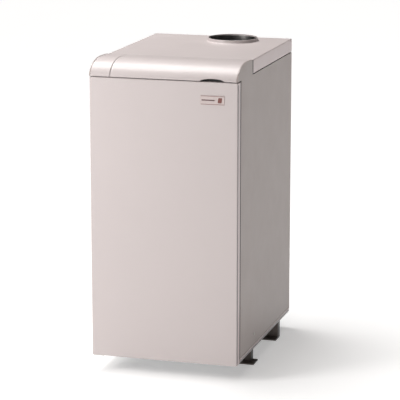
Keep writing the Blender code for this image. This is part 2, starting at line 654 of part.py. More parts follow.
def gas_valve(cast_alloy, black):
    """The gas control: a cast body, two coils on top and a front knob."""
    rear = MANIFOLD_Y + 32.0
    valve = add_object("gas_valve", box((VALVE_X - VALVE_HALF, VALVE_FRONT, VALVE_BOTTOM),
                                        (VALVE_X + VALVE_HALF, rear, VALVE_TOP)), cast_alloy)
    soften(valve, 4.0)
    join(valve, rod(VALVE_FLANGE_RADIUS, MANIFOLD_TOP + GAP, VALVE_BOTTOM + 8.0,
                    (VALVE_X, MANIFOLD_Y), "z", 20))
    join(valve, rod(17.0, VALVE_INLET_X - 30.0, VALVE_INLET_X, (MANIFOLD_Y, GAS_PIPE_Z), "x", 6))
    join(valve, rod(9.0, VALVE_TOP - 6.0, VALVE_TOP + 12.0, (VALVE_X + 22.0, MANIFOLD_Y - 12.0), "z", 16))
    join(valve, rod(4.0, rear - 2.0, rear + 3.0, (PILOT_X, 205.0), "y", 12))
    coil = add_object("valve_coil", box((VALVE_X - 34.0, MANIFOLD_Y - 24.0, VALVE_TOP + GAP),
                                        (VALVE_X + 6.0, MANIFOLD_Y + 22.0, COIL_TOP)), black)
    soften(coil, 3.0)
    join(coil, box((VALVE_X - 26.0, MANIFOLD_Y - 16.0, COIL_TOP - 6.0),
                   (VALVE_X - 2.0, MANIFOLD_Y + 14.0, COIL_TOP + 10.0)))
    grip = [(0.0, -GRIP_DEPTH), (11.0, -GRIP_DEPTH), (12.5, 2.0 - GRIP_DEPTH), (13.0, -GAP), (0.0, -GAP)]
    knob = add_object("gas_valve_knob", turned(grip, axis="y", segments=20), black,
                      (VALVE_X, VALVE_FRONT, GRIP_Z))
    for side in (-1.0, 1.0):
        cut(knob, box((side * 20.0, VALVE_FRONT - 30.0, GRIP_Z - 24.0),
                      (side * 4.0, VALVE_FRONT - 9.0, GRIP_Z + 26.0)), (VALVE_X, 0.0, 0.0))


# ---------------------------------------------------------------- exchanger

def exchanger(cast_iron, foil, galvanised, black_pipe, brass, steel, red):
    for number in range(SECTION_COUNT):
        section(number, cast_iron)

    for name, z in ROD_ZS.items():
        tie = add_object(name, rod(ROD_RADIUS, -BODY_HALF - 8.0, BODY_HALF + 8.0, (ROD_Y, z), "x", 12), steel)
        for side in (-1.0, 1.0):
            join(tie, rod(ROD_NUT_RADIUS, side * (BODY_HALF + GAP), side * (BODY_HALF + 7.0),
                          (ROD_Y, z), "x", 6))

    shell = add_object("chamber_shell", box((-BODY_HALF, BODY_FRONT + GAP, TRAY_TOP + GAP),
                                            (BODY_HALF, BODY_REAR, BODY_BOTTOM - GAP)), galvanised)
    inside = BODY_HALF - CHAMBER_WALL
    cut(shell, box((-inside, BODY_FRONT - 30.0, 0.0),
                   (inside, BODY_REAR - CHAMBER_WALL, BODY_BOTTOM + 110.0)))

    wrap_low = BODY_BOTTOM + 4.0
    wrap_high = BODY_TOP - 3.0
    side = BODY_HALF + 0.6
    wrap = add_object("body_insulation", box((-side - WRAP_THICKNESS, BODY_FRONT + 6.0, wrap_low),
                                             (side + WRAP_THICKNESS, BODY_REAR + 22.0, wrap_high)), foil)
    soften(wrap, 6.0)
    cut(wrap, box((-side, BODY_FRONT - 30.0, 200.0), (side, BODY_REAR + 0.6, 800.0)))
    for z in (FLOW_Z, RETURN_Z):
        cut(wrap, rod(25.0, BODY_REAR - 10.0, BODY_REAR + 60.0, (WATER_PIPE_X, z), "y", 20))

    for name, z in (("flow_pipe", FLOW_Z), ("return_pipe", RETURN_Z)):
        bore = WATER_PIPE_RADIUS - 3.0
        start = BODY_REAR + GAP
        profile = [(23.0, start), (23.0, start + 8.0), (WATER_PIPE_RADIUS, start + 9.0),
                   (WATER_PIPE_RADIUS, REAR_PIPE_END), (bore, REAR_PIPE_END), (bore, start)]
        add_object(name, turned(profile, (WATER_PIPE_X, 0.0, z), "y", 20, ring=True), black_pipe)

    spout = rod(9.0, COCK_Y - 22.0, BODY_FRONT - GAP, (COCK_X, COCK_Z), "y", 16)
    cock = add_object("drain_cock", spout, brass)
    join(cock, rod(12.0, BODY_FRONT - 12.0, BODY_FRONT - 5.0, (COCK_X, COCK_Z), "y", 6))
    join(cock, rod(12.0, COCK_Y - 9.0, COCK_Y + 9.0, (COCK_X, COCK_Z), "y", 8))
    join(cock, rod(5.0, COCK_Z, COCK_Z + COCK_STEM, (COCK_X, COCK_Y), "z", 12))
    cut(cock, rod(6.0, COCK_Y - 40.0, COCK_Y - 10.0, (COCK_X, COCK_Z), "y", 16))
    lever = add_object("drain_cock_lever", box((-LEVER_HALF, -LEVER_HALF, 0.0),
                                               (LEVER_LENGTH, LEVER_HALF, LEVER_THICKNESS)), red,
                       (COCK_X, COCK_Y, COCK_Z + COCK_STEM + GAP))
    soften(lever, 1.0)


def section(number, surface):
    """One cast-iron section between two flueways; the end sections carry lugs for the tie rods."""
    left = -BODY_HALF + number * SECTION_PITCH + GAP
    right = left + SECTION_PITCH - 2.0 * GAP
    chamfer = 22.0
    outline = [(BODY_FRONT + chamfer, BODY_BOTTOM), (BODY_REAR - chamfer, BODY_BOTTOM),
               (BODY_REAR, BODY_BOTTOM + chamfer), (BODY_REAR, BODY_TOP - chamfer),
               (BODY_REAR - chamfer, BODY_TOP), (BODY_FRONT + chamfer, BODY_TOP),
               (BODY_FRONT, BODY_TOP - chamfer), (BODY_FRONT, BODY_BOTTOM + chamfer)]
    item = add_object("exchanger_section_%d" % (number + 1), prism(outline, "x", left, right), surface)
    soften(item, 5.0)
    for side in (left, right):
        cut(item, box((side - FLUEWAY_DEPTH, BODY_FRONT + 20.0, BODY_BOTTOM - 50.0),
                      (side + FLUEWAY_DEPTH, BODY_REAR - 20.0, BODY_TOP + 50.0)))
    if number in (0, SECTION_COUNT - 1):
        edge = left if number == 0 else right
        inward = 14.0 if number == 0 else -14.0
        for z in ROD_ZS.values():
            join(item, box((min(edge, edge + inward), ROD_Y - 10.0, z - 12.0),
                           (max(edge, edge + inward), BODY_FRONT + 12.0, z + 12.0)))
            cut(item, rod(5.4, edge - 20.0, edge + 20.0, (ROD_Y, z), "x", 12))


# ---------------------------------------------------------------- flue

def flue(galvanised, black):
    collector = add_object("flue_collector", open_box(
        (-BODY_HALF + 2.0, BODY_FRONT + 24.0, BODY_TOP + GAP),
        (BODY_HALF - 2.0, BODY_REAR - 24.0, COLLECTOR_TOP),
        "z", BODY_TOP + GAP), galvanised)
    soften(collector, 8.0)
    thicken(collector, 1.5)
    low = Vector((FLUE_X - DIVERTER_HALF, DIVERTER_FRONT, COLLECTOR_TOP + GAP))
    high = Vector((FLUE_X + DIVERTER_HALF, DIVERTER_REAR, DIVERTER_TOP))
    cut(collector, box((low.x + 12.0, low.y + 12.0, COLLECTOR_TOP - 22.0),
                       (high.x - 12.0, BODY_REAR - 40.0, COLLECTOR_TOP + 18.0)))

    diverter = add_object("draught_diverter", open_box(low, high, "z", low.z), galvanised)
    soften(diverter, 6.0)
    thicken(diverter, 1.2)
    cut(diverter, rod(FLUE_RADIUS - 4.0, DIVERTER_TOP - 20.0, DIVERTER_TOP + 20.0, (FLUE_X, FLUE_Y), "z", 28))
    cut(diverter, box((low.x + 10.0, high.y - 20.0, 700.0),
                      (high.x - 10.0, high.y + 20.0, RELIEF_WINDOW[1][1])))

    wall = COLLAR_WALL
    flange = DIVERTER_TOP + GAP
    profile = [(COLLAR_FLANGE, flange), (COLLAR_FLANGE, flange + wall), (FLUE_RADIUS, flange + wall),
               (FLUE_RADIUS, FLUE_TOP), (FLUE_RADIUS - wall, FLUE_TOP), (FLUE_RADIUS - wall, flange)]
    add_object("flue_collar", turned(profile, (FLUE_X, FLUE_Y, 0.0), "z", 36, ring=True), black)

    plate_y = BODY_FRONT + 24.0
    cover = add_object("cleaning_cover", box((-HATCH_HALF, plate_y - 4.0, HATCH_BOTTOM),
                                             (HATCH_HALF, plate_y - GAP, HATCH_TOP)), galvanised)
    nut_z = (HATCH_BOTTOM + HATCH_TOP) / 2.0
    for x in (-HATCH_NUT_X, HATCH_NUT_X):
        join(cover, rod(7.0, plate_y - 14.0, plate_y - 2.0, (x, nut_z), "y", 6))


# ---------------------------------------------------------------- controls

def on_panel(x, y, z):
    """A place on the sloping control panel, from its own coordinates."""
    turn = Matrix.Rotation(PANEL_SLOPE, 4, "X")
    return Vector(PANEL_ORIGIN) + turn @ Vector((x, y, z))


def controls(dark_panel, grey_box, black, steel, red, needle):
    left = FLAP_LEFT + 3.0
    right = FLAP_RIGHT - 3.0
    panel = add_object("control_panel", box((left, 0.0, -PANEL_THICKNESS), (right, PANEL_LENGTH, 0.0)),
                       dark_panel, PANEL_ORIGIN, PANEL_SLOPE)
    row = CONTROL_ROW
    holes = ((GAUGE_X, GAUGE_HOLE_RADIUS), (BUTTON_X, BUTTON_HOLE_RADIUS), (KNOB_X, SPINDLE_HOLE_RADIUS))
    for x, radius in holes:
        cut(panel, rod(radius, -20.0, 20.0, (x, row), "z", 20), PANEL_ORIGIN, PANEL_SLOPE)
    cut(panel, box((SWITCH_X - 10.5, row - 14.0, -20.0), (SWITCH_X + 10.5, row + 14.0, 20.0)),
        PANEL_ORIGIN, PANEL_SLOPE)

    case = [(0.0, -18.0), (GAUGE_BODY_RADIUS, -18.0), (GAUGE_BODY_RADIUS, GAP), (GAUGE_RADIUS, GAP),
            (GAUGE_RADIUS, 2.5), (28.5, 4.0), (26.5, 4.0),
            (26.0, -3.0), (0.0, -3.0)]
    add_object("gauge_case", turned(case, segments=24), steel, on_panel(GAUGE_X, row, 0.0), PANEL_SLOPE)
    pointer("temperature_pointer", on_panel(GAUGE_X, row + GAUGE_PIVOT_OFFSET, 0.0), 145.0, needle)
    pointer("pressure_pointer", on_panel(GAUGE_X, row - GAUGE_PIVOT_OFFSET, 0.0), 215.0, needle)

    button = [(0.0, -6.0), (BUTTON_RADIUS, -6.0), (BUTTON_RADIUS, 3.5), (5.0, 4.5), (0.0, 4.5)]
    add_object("reset_button", turned(button, segments=20), red, on_panel(BUTTON_X, row, 0.0), PANEL_SLOPE)

    grip = [(0.0, -8.0), (SPINDLE_RADIUS, -8.0), (SPINDLE_RADIUS, 0.4), (KNOB_RADIUS, 0.4),
            (KNOB_RADIUS, 3.0), (15.0, 5.0), (14.0, KNOB_HEIGHT - 1.0), (12.5, KNOB_HEIGHT), (0.0, KNOB_HEIGHT)]
    add_object("thermostat_knob", turned(grip, segments=24), black, on_panel(KNOB_X, row, 0.0), PANEL_SLOPE)

    half = ROCKER_HALF_LENGTH
    outline = [(-half, -4.0), (half, -4.0), (half, 2.2), (0.0, 1.0), (-half, 5.4)]
    rocker = add_object("mains_switch", prism(outline, "x", -ROCKER_HALF_WIDTH, ROCKER_HALF_WIDTH), black,
                        on_panel(SWITCH_X, row, 0.0), PANEL_SLOPE)
    soften(rocker, 0.6)

    low = (left, BOX_FRONT, BOX_BOTTOM)
    high = (right - 3.0, BOX_REAR, BOX_TOP)
    shell = add_object("control_box", open_box(low, high, "z", BOX_TOP), grey_box)
    thicken(shell, BOX_WALL)

    cable_entry = [(0.0, 0.0), (13.0, 0.0), (13.0, 6.0), (10.0, 7.0), (10.0, 14.0), (7.5, 18.0), (4.0, 18.0),
                   (4.0, 6.0), (0.0, 6.0)]
    add_object("cable_gland", turned(cable_entry, axis="y", segments=16), black,
               (GLAND_X, CASE_REAR + GAP, GLAND_Z))


def pointer(name, place, heading, surface):
    """A flat gauge needle about its hub; heading is its angle from +X on the panel, in degrees."""
    length = POINTER_LENGTH
    outline = arc((0.0, 0.0), (2.2, 2.2), 30.0, 330.0, 8)
    outline += [(length - 3.0, -0.5), (length, 0.0), (length - 3.0, 0.5)]
    shape = prism(outline, "z", -2.4, -1.4)
    turn = Matrix.Rotation(math.radians(heading), 3, "Z")
    bmesh.ops.rotate(shape, cent=(0.0, 0.0, 0.0), matrix=turn, verts=shape.verts)
    add_object(name, shape, surface, place, PANEL_SLOPE)


def build():
    clear_scene()
    enamel = finish("enamel", (0.78, 0.74, 0.73), 0.35)
    galvanised = finish("galvanised_sheet", (0.55, 0.56, 0.57), 0.45, 0.9)
    black_steel = finish("black_steel", (0.03, 0.03, 0.03), 0.5, 0.6)
    zinc = finish("zinc", (0.60, 0.60, 0.58), 0.35, 1.0)
    foil = finish("foil_insulation", (0.70, 0.70, 0.70), 0.3, 0.9)
    black = finish("black_plastic", (0.02, 0.02, 0.02), 0.45)
    brass = finish("brass", (0.70, 0.50, 0.20), 0.3, 1.0)
    stainless = finish("stainless", (0.58, 0.56, 0.54), 0.3, 1.0)
    cast_alloy = finish("cast_alloy", (0.62, 0.62, 0.62), 0.5, 0.9)
    cast_iron = finish("cast_iron", (0.06, 0.06, 0.065), 0.8, 0.4)
    pipe_steel = finish("pipe_steel", (0.10, 0.10, 0.11), 0.5, 0.7)
    ceramic = finish("ceramic", (0.85, 0.82, 0.76), 0.3)
    sight = finish("sight_glass", (0.25, 0.20, 0.15), 0.1)
    trim = finish("badge_trim", (0.75, 0.70, 0.68), 0.3, 0.7)
    dark_panel = finish("panel_plastic", (0.10, 0.11, 0.12), 0.5)
    grey_box = finish("box_plastic", (0.35, 0.36, 0.37), 0.55)
    red = finish("red_plastic", (0.45, 0.03, 0.02), 0.4)
    needle = finish("needle", (0.02, 0.02, 0.02), 0.5)
    casing(enamel, galvanised, black_steel, zinc)
    door(enamel, foil, zinc, black, trim)
    burner(stainless, galvanised, brass, cast_alloy, black, pipe_steel, ceramic, sight)
    exchanger(cast_iron, foil, galvanised, pipe_steel, brass, zinc, red)
    flue(galvanised, black_steel)
    controls(dark_panel, grey_box, black, zinc, red, needle)


build()
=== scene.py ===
"""Looks of the floor-standing gas boiler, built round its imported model.

Shapes are drawn in millimetres in the model's own frame and written in metres.
The floor is Z = 0 and the door faces -Y.
"""

import json
import math

import bmesh
import bpy
from mathutils import Matrix, Vector, noise


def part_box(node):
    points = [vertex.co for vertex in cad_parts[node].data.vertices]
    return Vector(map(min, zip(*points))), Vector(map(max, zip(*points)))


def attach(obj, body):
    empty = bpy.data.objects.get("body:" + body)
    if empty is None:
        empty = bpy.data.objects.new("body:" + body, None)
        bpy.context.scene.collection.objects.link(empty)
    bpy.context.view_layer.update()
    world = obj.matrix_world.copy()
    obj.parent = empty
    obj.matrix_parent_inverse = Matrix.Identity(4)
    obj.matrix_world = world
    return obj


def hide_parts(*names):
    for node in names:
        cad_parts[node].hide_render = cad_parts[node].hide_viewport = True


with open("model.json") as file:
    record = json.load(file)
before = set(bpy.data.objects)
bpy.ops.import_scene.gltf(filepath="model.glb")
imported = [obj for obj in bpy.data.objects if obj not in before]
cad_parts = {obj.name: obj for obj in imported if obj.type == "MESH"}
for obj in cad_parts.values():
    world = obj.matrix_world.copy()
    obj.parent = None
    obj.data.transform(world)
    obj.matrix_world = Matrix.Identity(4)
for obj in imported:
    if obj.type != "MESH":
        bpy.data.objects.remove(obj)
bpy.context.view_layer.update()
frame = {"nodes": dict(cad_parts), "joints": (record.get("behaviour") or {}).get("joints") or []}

MM = 0.001
SHEET = 1.2
FOLD = 14.0
GAP = 0.3
HOOD_THICKNESS = 2.5
NOSE_DEPTH = 88.0
NOSE_HEIGHT = 43.0
PANEL_SLOPE = math.radians(8.0)
HEM_HEIGHT = 9.0
HEM_DEPTH = 1.2
HEM_BEAD = ((-1.0, 0.4), (0.6, 0.6), (1.2, 1.8), (1.2, 3.4), (0.4, 4.6), (-1.0, 4.8))
RIM_WIDTH = 3.0
COVER_SEAM = 11.0
THROUGH = 20.0
AXIS_TURNS = {"x": Matrix.Rotation(math.pi / 2.0, 3, "Y"), "y": Matrix.Rotation(-math.pi / 2.0, 3, "X"),
              "z": Matrix.Identity(3)}


def edges(node):
    """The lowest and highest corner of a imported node, in millimetres."""
    low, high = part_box(node)
    return low / MM, high / MM


def middle(node):
    low, high = edges(node)
    return (low + high) / 2.0


def joint_place(name):
    return Vector(next(joint for joint in frame["joints"] if joint["name"] == name)["pos_m"]) / MM


DOOR_LOW, DOOR_HIGH = edges("door_panel")
SIDE_LOW, SIDE_HIGH = edges("side_panel_right")
FLAP_LOW = edges("control_flap")[0]
COVER_LOW, COVER_HIGH = edges("top_cover")
HALF_WIDTH = SIDE_HIGH.x
PANEL_FRONT = DOOR_HIGH.y + 7.0
FLAP_AXIS = joint_place("flap_hinge")
FLUE = middle("flue_collar")
FLUE_TOP = edges("flue_collar")[1].z


# ---------------------------------------------------------------- shapes in millimetres

def box(low, high):
    shape = bmesh.new()
    size = Vector(high) - Vector(low)
    place = Matrix.Translation((Vector(low) + Vector(high)) / 2.0) @ Matrix.Diagonal((*size, 1.0))
    bmesh.ops.create_cube(shape, size=1.0, matrix=place)
    return shape


def prism(outline, axis, start, end):
    """Extrude an outline of two coordinates along x, y or z."""
    index = "xyz".index(axis)
    shape = bmesh.new()
    corners = []
    for point in outline:
        place = list(point)
        place.insert(index, start)
        corners.append(shape.verts.new(place))
    face = shape.faces.new(corners)
    pulled = bmesh.ops.extrude_face_region(shape, geom=[face])
    travel = Vector((0.0, 0.0, 0.0))
    travel[index] = end - start
    moved = [part for part in pulled["geom"] if isinstance(part, bmesh.types.BMVert)]
    bmesh.ops.translate(shape, vec=travel, verts=moved)
    bmesh.ops.recalc_face_normals(shape, faces=shape.faces)
    return shape


def rectangle(low, high, radius):
    """The outline of a rectangle between two corners, with its corners rounded off."""
    return rounded([(low[0], low[1]), (high[0], low[1]), (high[0], high[1]), (low[0], high[1])], radius)


def slab(axis, low, high, radius):
    """A box whose edges along one axis are rounded off."""
    index = "xyz".index(axis)
    across = [part for part in range(3) if part != index]
    corners = [[point[part] for part in across] for point in (low, high)]
    return prism(rectangle(*corners, radius), axis, low[index], high[index])


def turned(profile, centre=(0.0, 0.0, 0.0), axis="z", segments=48, ring=False, flutes=0, depth=0.0):
    """Turn a profile of (radius, height) about an axis; flutes scallop its widest part.

    Unless it is a ring, the profile's two ends are closed by flat faces.
    """
    shape = bmesh.new()
    profile = list(profile)
    if profile[0][0] and not ring:
        profile.insert(0, (0.0, profile[0][1]))
    if profile[-1][0] and not ring:
        profile.append((0.0, profile[-1][1]))
    widest = max(radius for radius, height in profile)
    rows = []
    for radius, height in profile:
        if radius == 0.0:
            rows.append([shape.verts.new((0.0, 0.0, height))] * segments)
            continue
        row = []
        for step in range(segments):
            angle = 2.0 * math.pi * (step + 0.5) / segments
            reach = radius
            if flutes and radius > 0.8 * widest:
                reach -= depth * (0.5 - 0.5 * math.cos(angle * flutes))
            row.append(shape.verts.new((reach * math.cos(angle), reach * math.sin(angle), height)))
        rows.append(row)
    pairs = list(zip(rows, rows[1:]))
    if ring:
        pairs.append((rows[-1], rows[0]))
    for low, high in pairs:
        for step in range(segments):
            after = (step + 1) % segments
            unique = list(dict.fromkeys([low[step], low[after], high[after], high[step]]))
            if len(unique) > 2:
                shape.faces.new(unique)
    moved(shape, centre, AXIS_TURNS[axis])
    bmesh.ops.recalc_face_normals(shape, faces=shape.faces)
    return shape


def on_axis(centre, axis):
    """The place on an axis, given by the two coordinates across it."""
    place = list(centre)
    place.insert("xyz".index(axis), 0.0)
    return place


def rod(radius, start, end, centre, axis, segments=32):
    return turned([(radius, start), (radius, end)], on_axis(centre, axis), axis, segments)


def bored(radius, node, centre, axis="y", segments=64):
    """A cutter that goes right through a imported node."""
    low, high = edges(node)
    index = "xyz".index(axis)
    return rod(radius, low[index] - THROUGH, high[index] + THROUGH, centre, axis, segments)


def hexagon(across, start, end, centre, axis, chamfer=1.0):
    """A hexagon nut or head with chamfered corners."""
    reach = across / math.sqrt(3.0)
    slope = chamfer * 0.6
    return turned([(reach - chamfer, start), (reach, start + slope), (reach, end - slope),
                   (reach - chamfer, end)], on_axis(centre, axis), axis, 6)


def threaded(radius, start, end, pitch=2.0, depth=0.9):
    """A profile of (radius, height) points along a screw thread drawn as rings."""
    points = []
    count = max(1, int(abs(end - start) / pitch))
    for turn in range(count):
        low = start + (end - start) * turn / count
        high = start + (end - start) * (turn + 1) / count
        points += [(radius - depth, low), (radius, (low + high) / 2.0)]
    points.append((radius - depth, end))
    return points


def screw_head(radius, height, centre, axis, towards):
    """A pan-head screw with a recess, whose head stands on a point of a face."""
    shape = turned([(radius, 0.0), (radius, height * 0.35), (radius * 0.85, height * 0.75),
                    (radius * 0.5, height), (radius * 0.3, height), (radius * 0.12, height * 0.5)],
                   segments=24)
    turn = AXIS_TURNS[axis]
    if towards < 0.0:
        turn = turn @ Matrix.Rotation(math.pi, 3, "X")
    return moved(shape, centre, turn)


def arc(centre, radii, first, last, steps):
    """Points on an ellipse from one angle to another, in degrees."""
    points = []
    for step in range(steps + 1):
        angle = math.radians(first + (last - first) * step / steps)
        points.append((centre[0] + radii[0] * math.cos(angle), centre[1] + radii[1] * math.sin(angle)))
    return points


def rounded(points, radius, closed=True, steps=5):
    """An outline or a path with its corners rounded off; it may be in two or three coordinates."""
    corners = [Vector(point) for point in points]
    count = len(corners)
    result = []
    for index, corner in enumerate(corners):
        if not closed and index in (0, count - 1):
            result.append(corner)
            continue
        before = corners[index - 1]
        after = corners[(index + 1) % count]
        reach = min(radius, (before - corner).length * 0.49, (after - corner).length * 0.49)
        start = corner + (before - corner).normalized() * reach
        end = corner + (after - corner).normalized() * reach
        for step in range(steps + 1):
            part = step / steps
            result.append(start * (1 - part) ** 2 + corner * 2 * part * (1 - part) + end * part ** 2)
    return result


def sheet_section(path, thickness):
    """The closed section of a folded sheet whose outer face follows a path of two coordinates."""
    points = [Vector(point) for point in path]
    inner = []
    for index, point in enumerate(points):
        before = points[max(index - 1, 0)]
        after = points[min(index + 1, len(points) - 1)]
        ahead = (after - point).normalized() if after != point else (point - before).normalized()
        behind = (point - before).normalized() if point != before else ahead
        along = (ahead + behind).normalized()
        normal = Vector((-along.y, along.x))
        mitre = max(0.5, along.dot(ahead))
        inner.append(point + normal * thickness / mitre)
    return [tuple(point) for point in points] + [tuple(point) for point in reversed(inner)]


def blended(*shapes):
    """One shape that holds several separate ones."""
    whole = bmesh.new()
    for shape in shapes:
        copy = bpy.data.meshes.new("part")
        shape.to_mesh(copy)
        shape.free()
        whole.from_mesh(copy)
        bpy.data.meshes.remove(copy)
    return whole


def moved(shape, by, turn=None):
    matrix = Matrix.Translation(by)
    if turn is not None:
        matrix = matrix @ turn.to_4x4()
    bmesh.ops.transform(shape, matrix=matrix, verts=shape.verts)
    return shape


def linked(name, data):
    item = bpy.data.objects.new(name, data)
    bpy.context.collection.objects.link(item)
    return item


def raw_object(name, shape):
    bmesh.ops.scale(shape, vec=(MM, MM, MM), verts=shape.verts)
    mesh = bpy.data.meshes.new(name)
    shape.to_mesh(mesh)
    shape.free()
    return linked(name, mesh)


def settle(item):
    """Replace an object's mesh by what its modifiers make of it."""
    graph = bpy.context.evaluated_depsgraph_get()
    mesh = bpy.data.meshes.new_from_object(item.evaluated_get(graph))
    item.modifiers.clear()
    old = item.data
    item.data = mesh
    bpy.data.meshes.remove(old)


def carve(item, *tools, operation="DIFFERENCE"):
    """Cut shapes out of an object or join them on, and keep only the result."""
    for tool in tools:
        cutter = raw_object("cutter", tool)
        modifier = item.modifiers.new("carve", "BOOLEAN")
        modifier.operation = operation
        modifier.object = cutter
        settle(item)
        bpy.data.objects.remove(cutter)
    return item


def handed_over(item, nodes, body="cabinet"):
    """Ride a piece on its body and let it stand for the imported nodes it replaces."""
    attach(item, body)
    if nodes:
        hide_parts(*nodes)
    return item


def piece(name, shape, surface, slot, *nodes, body="cabinet", bevel=0.0, segments=2, cuts=(), joins=(),
          smooth=35.0):
    """Make a visible piece: joined, cut, with softened edges and one material."""
    item = raw_object(name, shape)
    carve(item, *joins, operation="UNION")
    carve(item, *cuts)
    if bevel:
        modifier = item.modifiers.new("soften", "BEVEL")
        modifier.width = bevel * MM
        modifier.segments = segments
        modifier.limit_method = "ANGLE"
        modifier.angle_limit = math.radians(smooth)
        settle(item)
    item.data.shade_smooth()
    item.data.set_sharp_from_angle(angle=math.radians(smooth))
    even = item.modifiers.new("even", "WEIGHTED_NORMAL")
    even.keep_sharp = True
    settle(item)
    item.data.materials.clear()
    item.data.materials.append(surface)
    return handed_over(item, nodes, body)


def wire(name, points, radius, surface, slot, *nodes, bend=8.0, resolution=4):
    """A round wire or pipe along a path of points whose corners are rounded."""
    curve = bpy.data.curves.new(name, "CURVE")
    curve.dimensions = "3D"
    curve.bevel_depth = radius * MM
    curve.bevel_resolution = resolution
    curve.use_fill_caps = True
    path = rounded(points, bend, closed=False, steps=8)
    spline = curve.splines.new("POLY")
    spline.points.add(len(path) - 1)
    for point, place in zip(spline.points, path):
        point.co = (*(place * MM), 1.0)
    curve.materials.append(surface)
    return handed_over(linked(name, curve), nodes)


# ---------------------------------------------------------------- materials

def socket_value(tree, socket, value):
    if isinstance(value, bpy.types.NodeSocket):
        tree.links.new(value, socket)
    elif isinstance(value, (tuple, list)) and len(value) == 3 and socket.type == "RGBA":
        socket.default_value = (*value, 1.0)
    else:
        socket.default_value = value


def node(tree, kind, inputs, **settings):
    """Add a shader node with its settings, and give its inputs a value or a link."""
    made = tree.nodes.new("ShaderNode" + kind)
    for name, value in settings.items():
        setattr(made, name, value)
    for name, value in inputs.items():
        socket_value(tree, made.inputs[name], value)
    return made


def noise_value(tree, place, scale, detail=3.0, roughness=0.55, distortion=0.0):
    made = node(tree, "TexNoise", {"Vector": place, "Scale": scale, "Detail": detail,
                                   "Roughness": roughness, "Distortion": distortion})
    return made.outputs["Fac"]


def spread(tree, value, low, high, start=0.3, end=0.7):
    """Map a value from start..end to low..high, held inside that range."""
    made = node(tree, "MapRange", {0: value, 1: start, 2: end, 3: low, 4: high})
    return made.outputs[0]


def mix(tree, share, first, second, kind="MIX"):
    made = node(tree, "Mix", {}, data_type="RGBA", blend_type=kind)
    socket_value(tree, made.inputs[0], share)
    socket_value(tree, made.inputs[6], first)
    socket_value(tree, made.inputs[7], second)
    return made.outputs[2]


def combine(tree, operation, first, second):
    made = node(tree, "Math", {0: first, 1: second}, operation=operation)
    return made.outputs[0]


def place_of(tree, stretch=(1.0, 1.0, 1.0)):
    """Metres in the model's frame, stretched for streaks."""
    coordinates = tree.nodes.new("ShaderNodeTexCoord").outputs["Object"]
    made = node(tree, "Mapping", {"Vector": coordinates, "Scale": stretch})
    return made.outputs["Vector"]


def material(name, metallic=0.0):
    made = bpy.data.materials.new(name)
    made.use_nodes = True
    tree = made.node_tree
    shader = tree.nodes["Principled BSDF"]
    shader.inputs["Metallic"].default_value = metallic
    return made, tree, shader


def bump(tree, shader, height, depth):
    """Raise the surface by a height of 0 to 1 times a depth in millimetres."""
    made = node(tree, "Bump", {"Height": height, "Strength": 1.0, "Distance": depth * MM})
    tree.links.new(made.outputs["Normal"], shader.inputs["Normal"])


def worn_edge(tree, radius):
    """1 at sharp outer edges and 0 elsewhere."""
    soft = node(tree, "Bevel", {"Radius": radius * MM}, samples=4).outputs["Normal"]
    straight = tree.nodes.new("ShaderNodeNewGeometry").outputs["Normal"]
    made = node(tree, "VectorMath", {0: soft, 1: straight}, operation="DOT_PRODUCT")
    return spread(tree, made.outputs["Value"], 1.0, 0.0, 0.8, 0.99)


def painted(name, colour, variation, roughness, grain, depth, edge=None, cloud=3.0, coat=0.0):
    """Paint or enamel: faint clouds of colour, a fine speckle and an orange-peel surface."""
    made, tree, shader = material(name)
    place = place_of(tree)
    light = tuple(min(1.0, value * (1.0 + variation)) for value in colour)
    dark = tuple(value * (1.0 - variation) for value in colour)
    clouds = spread(tree, noise_value(tree, place, cloud, 4.0), 0.0, 1.0)
    shade = mix(tree, clouds, dark, light)
    speck = spread(tree, noise_value(tree, place, grain * 1.7, 2.0), 0.0, 0.5, 0.45, 0.75)
    shade = mix(tree, speck, shade, tuple(value * (1.0 - 1.6 * variation) for value in colour))
    if edge:
        rough_edge = combine(tree, "MULTIPLY", worn_edge(tree, edge[1]),
                             spread(tree, noise_value(tree, place, 90.0, 4.0), 0.1, 1.0))
        shade = mix(tree, rough_edge, shade, edge[0])
    tree.links.new(shade, shader.inputs["Base Color"])
    smudge = noise_value(tree, place, 14.0, 5.0, 0.6)
    tree.links.new(spread(tree, smudge, roughness[0], roughness[1]), shader.inputs["Roughness"])
    shader.inputs["Coat Weight"].default_value = coat
    shader.inputs["Coat Roughness"].default_value = 0.15
    bump(tree, shader, noise_value(tree, place, grain, 2.0), depth)
    return made


def metal(name, colour, dark, roughness, streak=(1.0, 1.0, 1.0), grain=260.0, depth=0.02, metallic=1.0,
          stain=None):
    """Bare metal with drawn or ground streaks, darker patches and fine scratches."""
    made, tree, shader = material(name, metallic)
    place = place_of(tree)
    lined = place_of(tree, streak)
    patches = spread(tree, noise_value(tree, place, 22.0, 5.0, 0.6), 0.0, 1.0)
    lines = noise_value(tree, lined, grain, 4.0, 0.7)
    shade = mix(tree, patches, dark, colour)
    shade = mix(tree, spread(tree, lines, 0.0, 0.35), shade, dark)
    if stain:
        spots = spread(tree, noise_value(tree, place, stain[1], 6.0, 0.7), 0.0, stain[2], 0.52, 0.7)
        shade = mix(tree, spots, shade, stain[0])
    tree.links.new(shade, shader.inputs["Base Color"])
    tree.links.new(spread(tree, lines, roughness[0], roughness[1]), shader.inputs["Roughness"])
    bump(tree, shader, lines, depth)
    return made


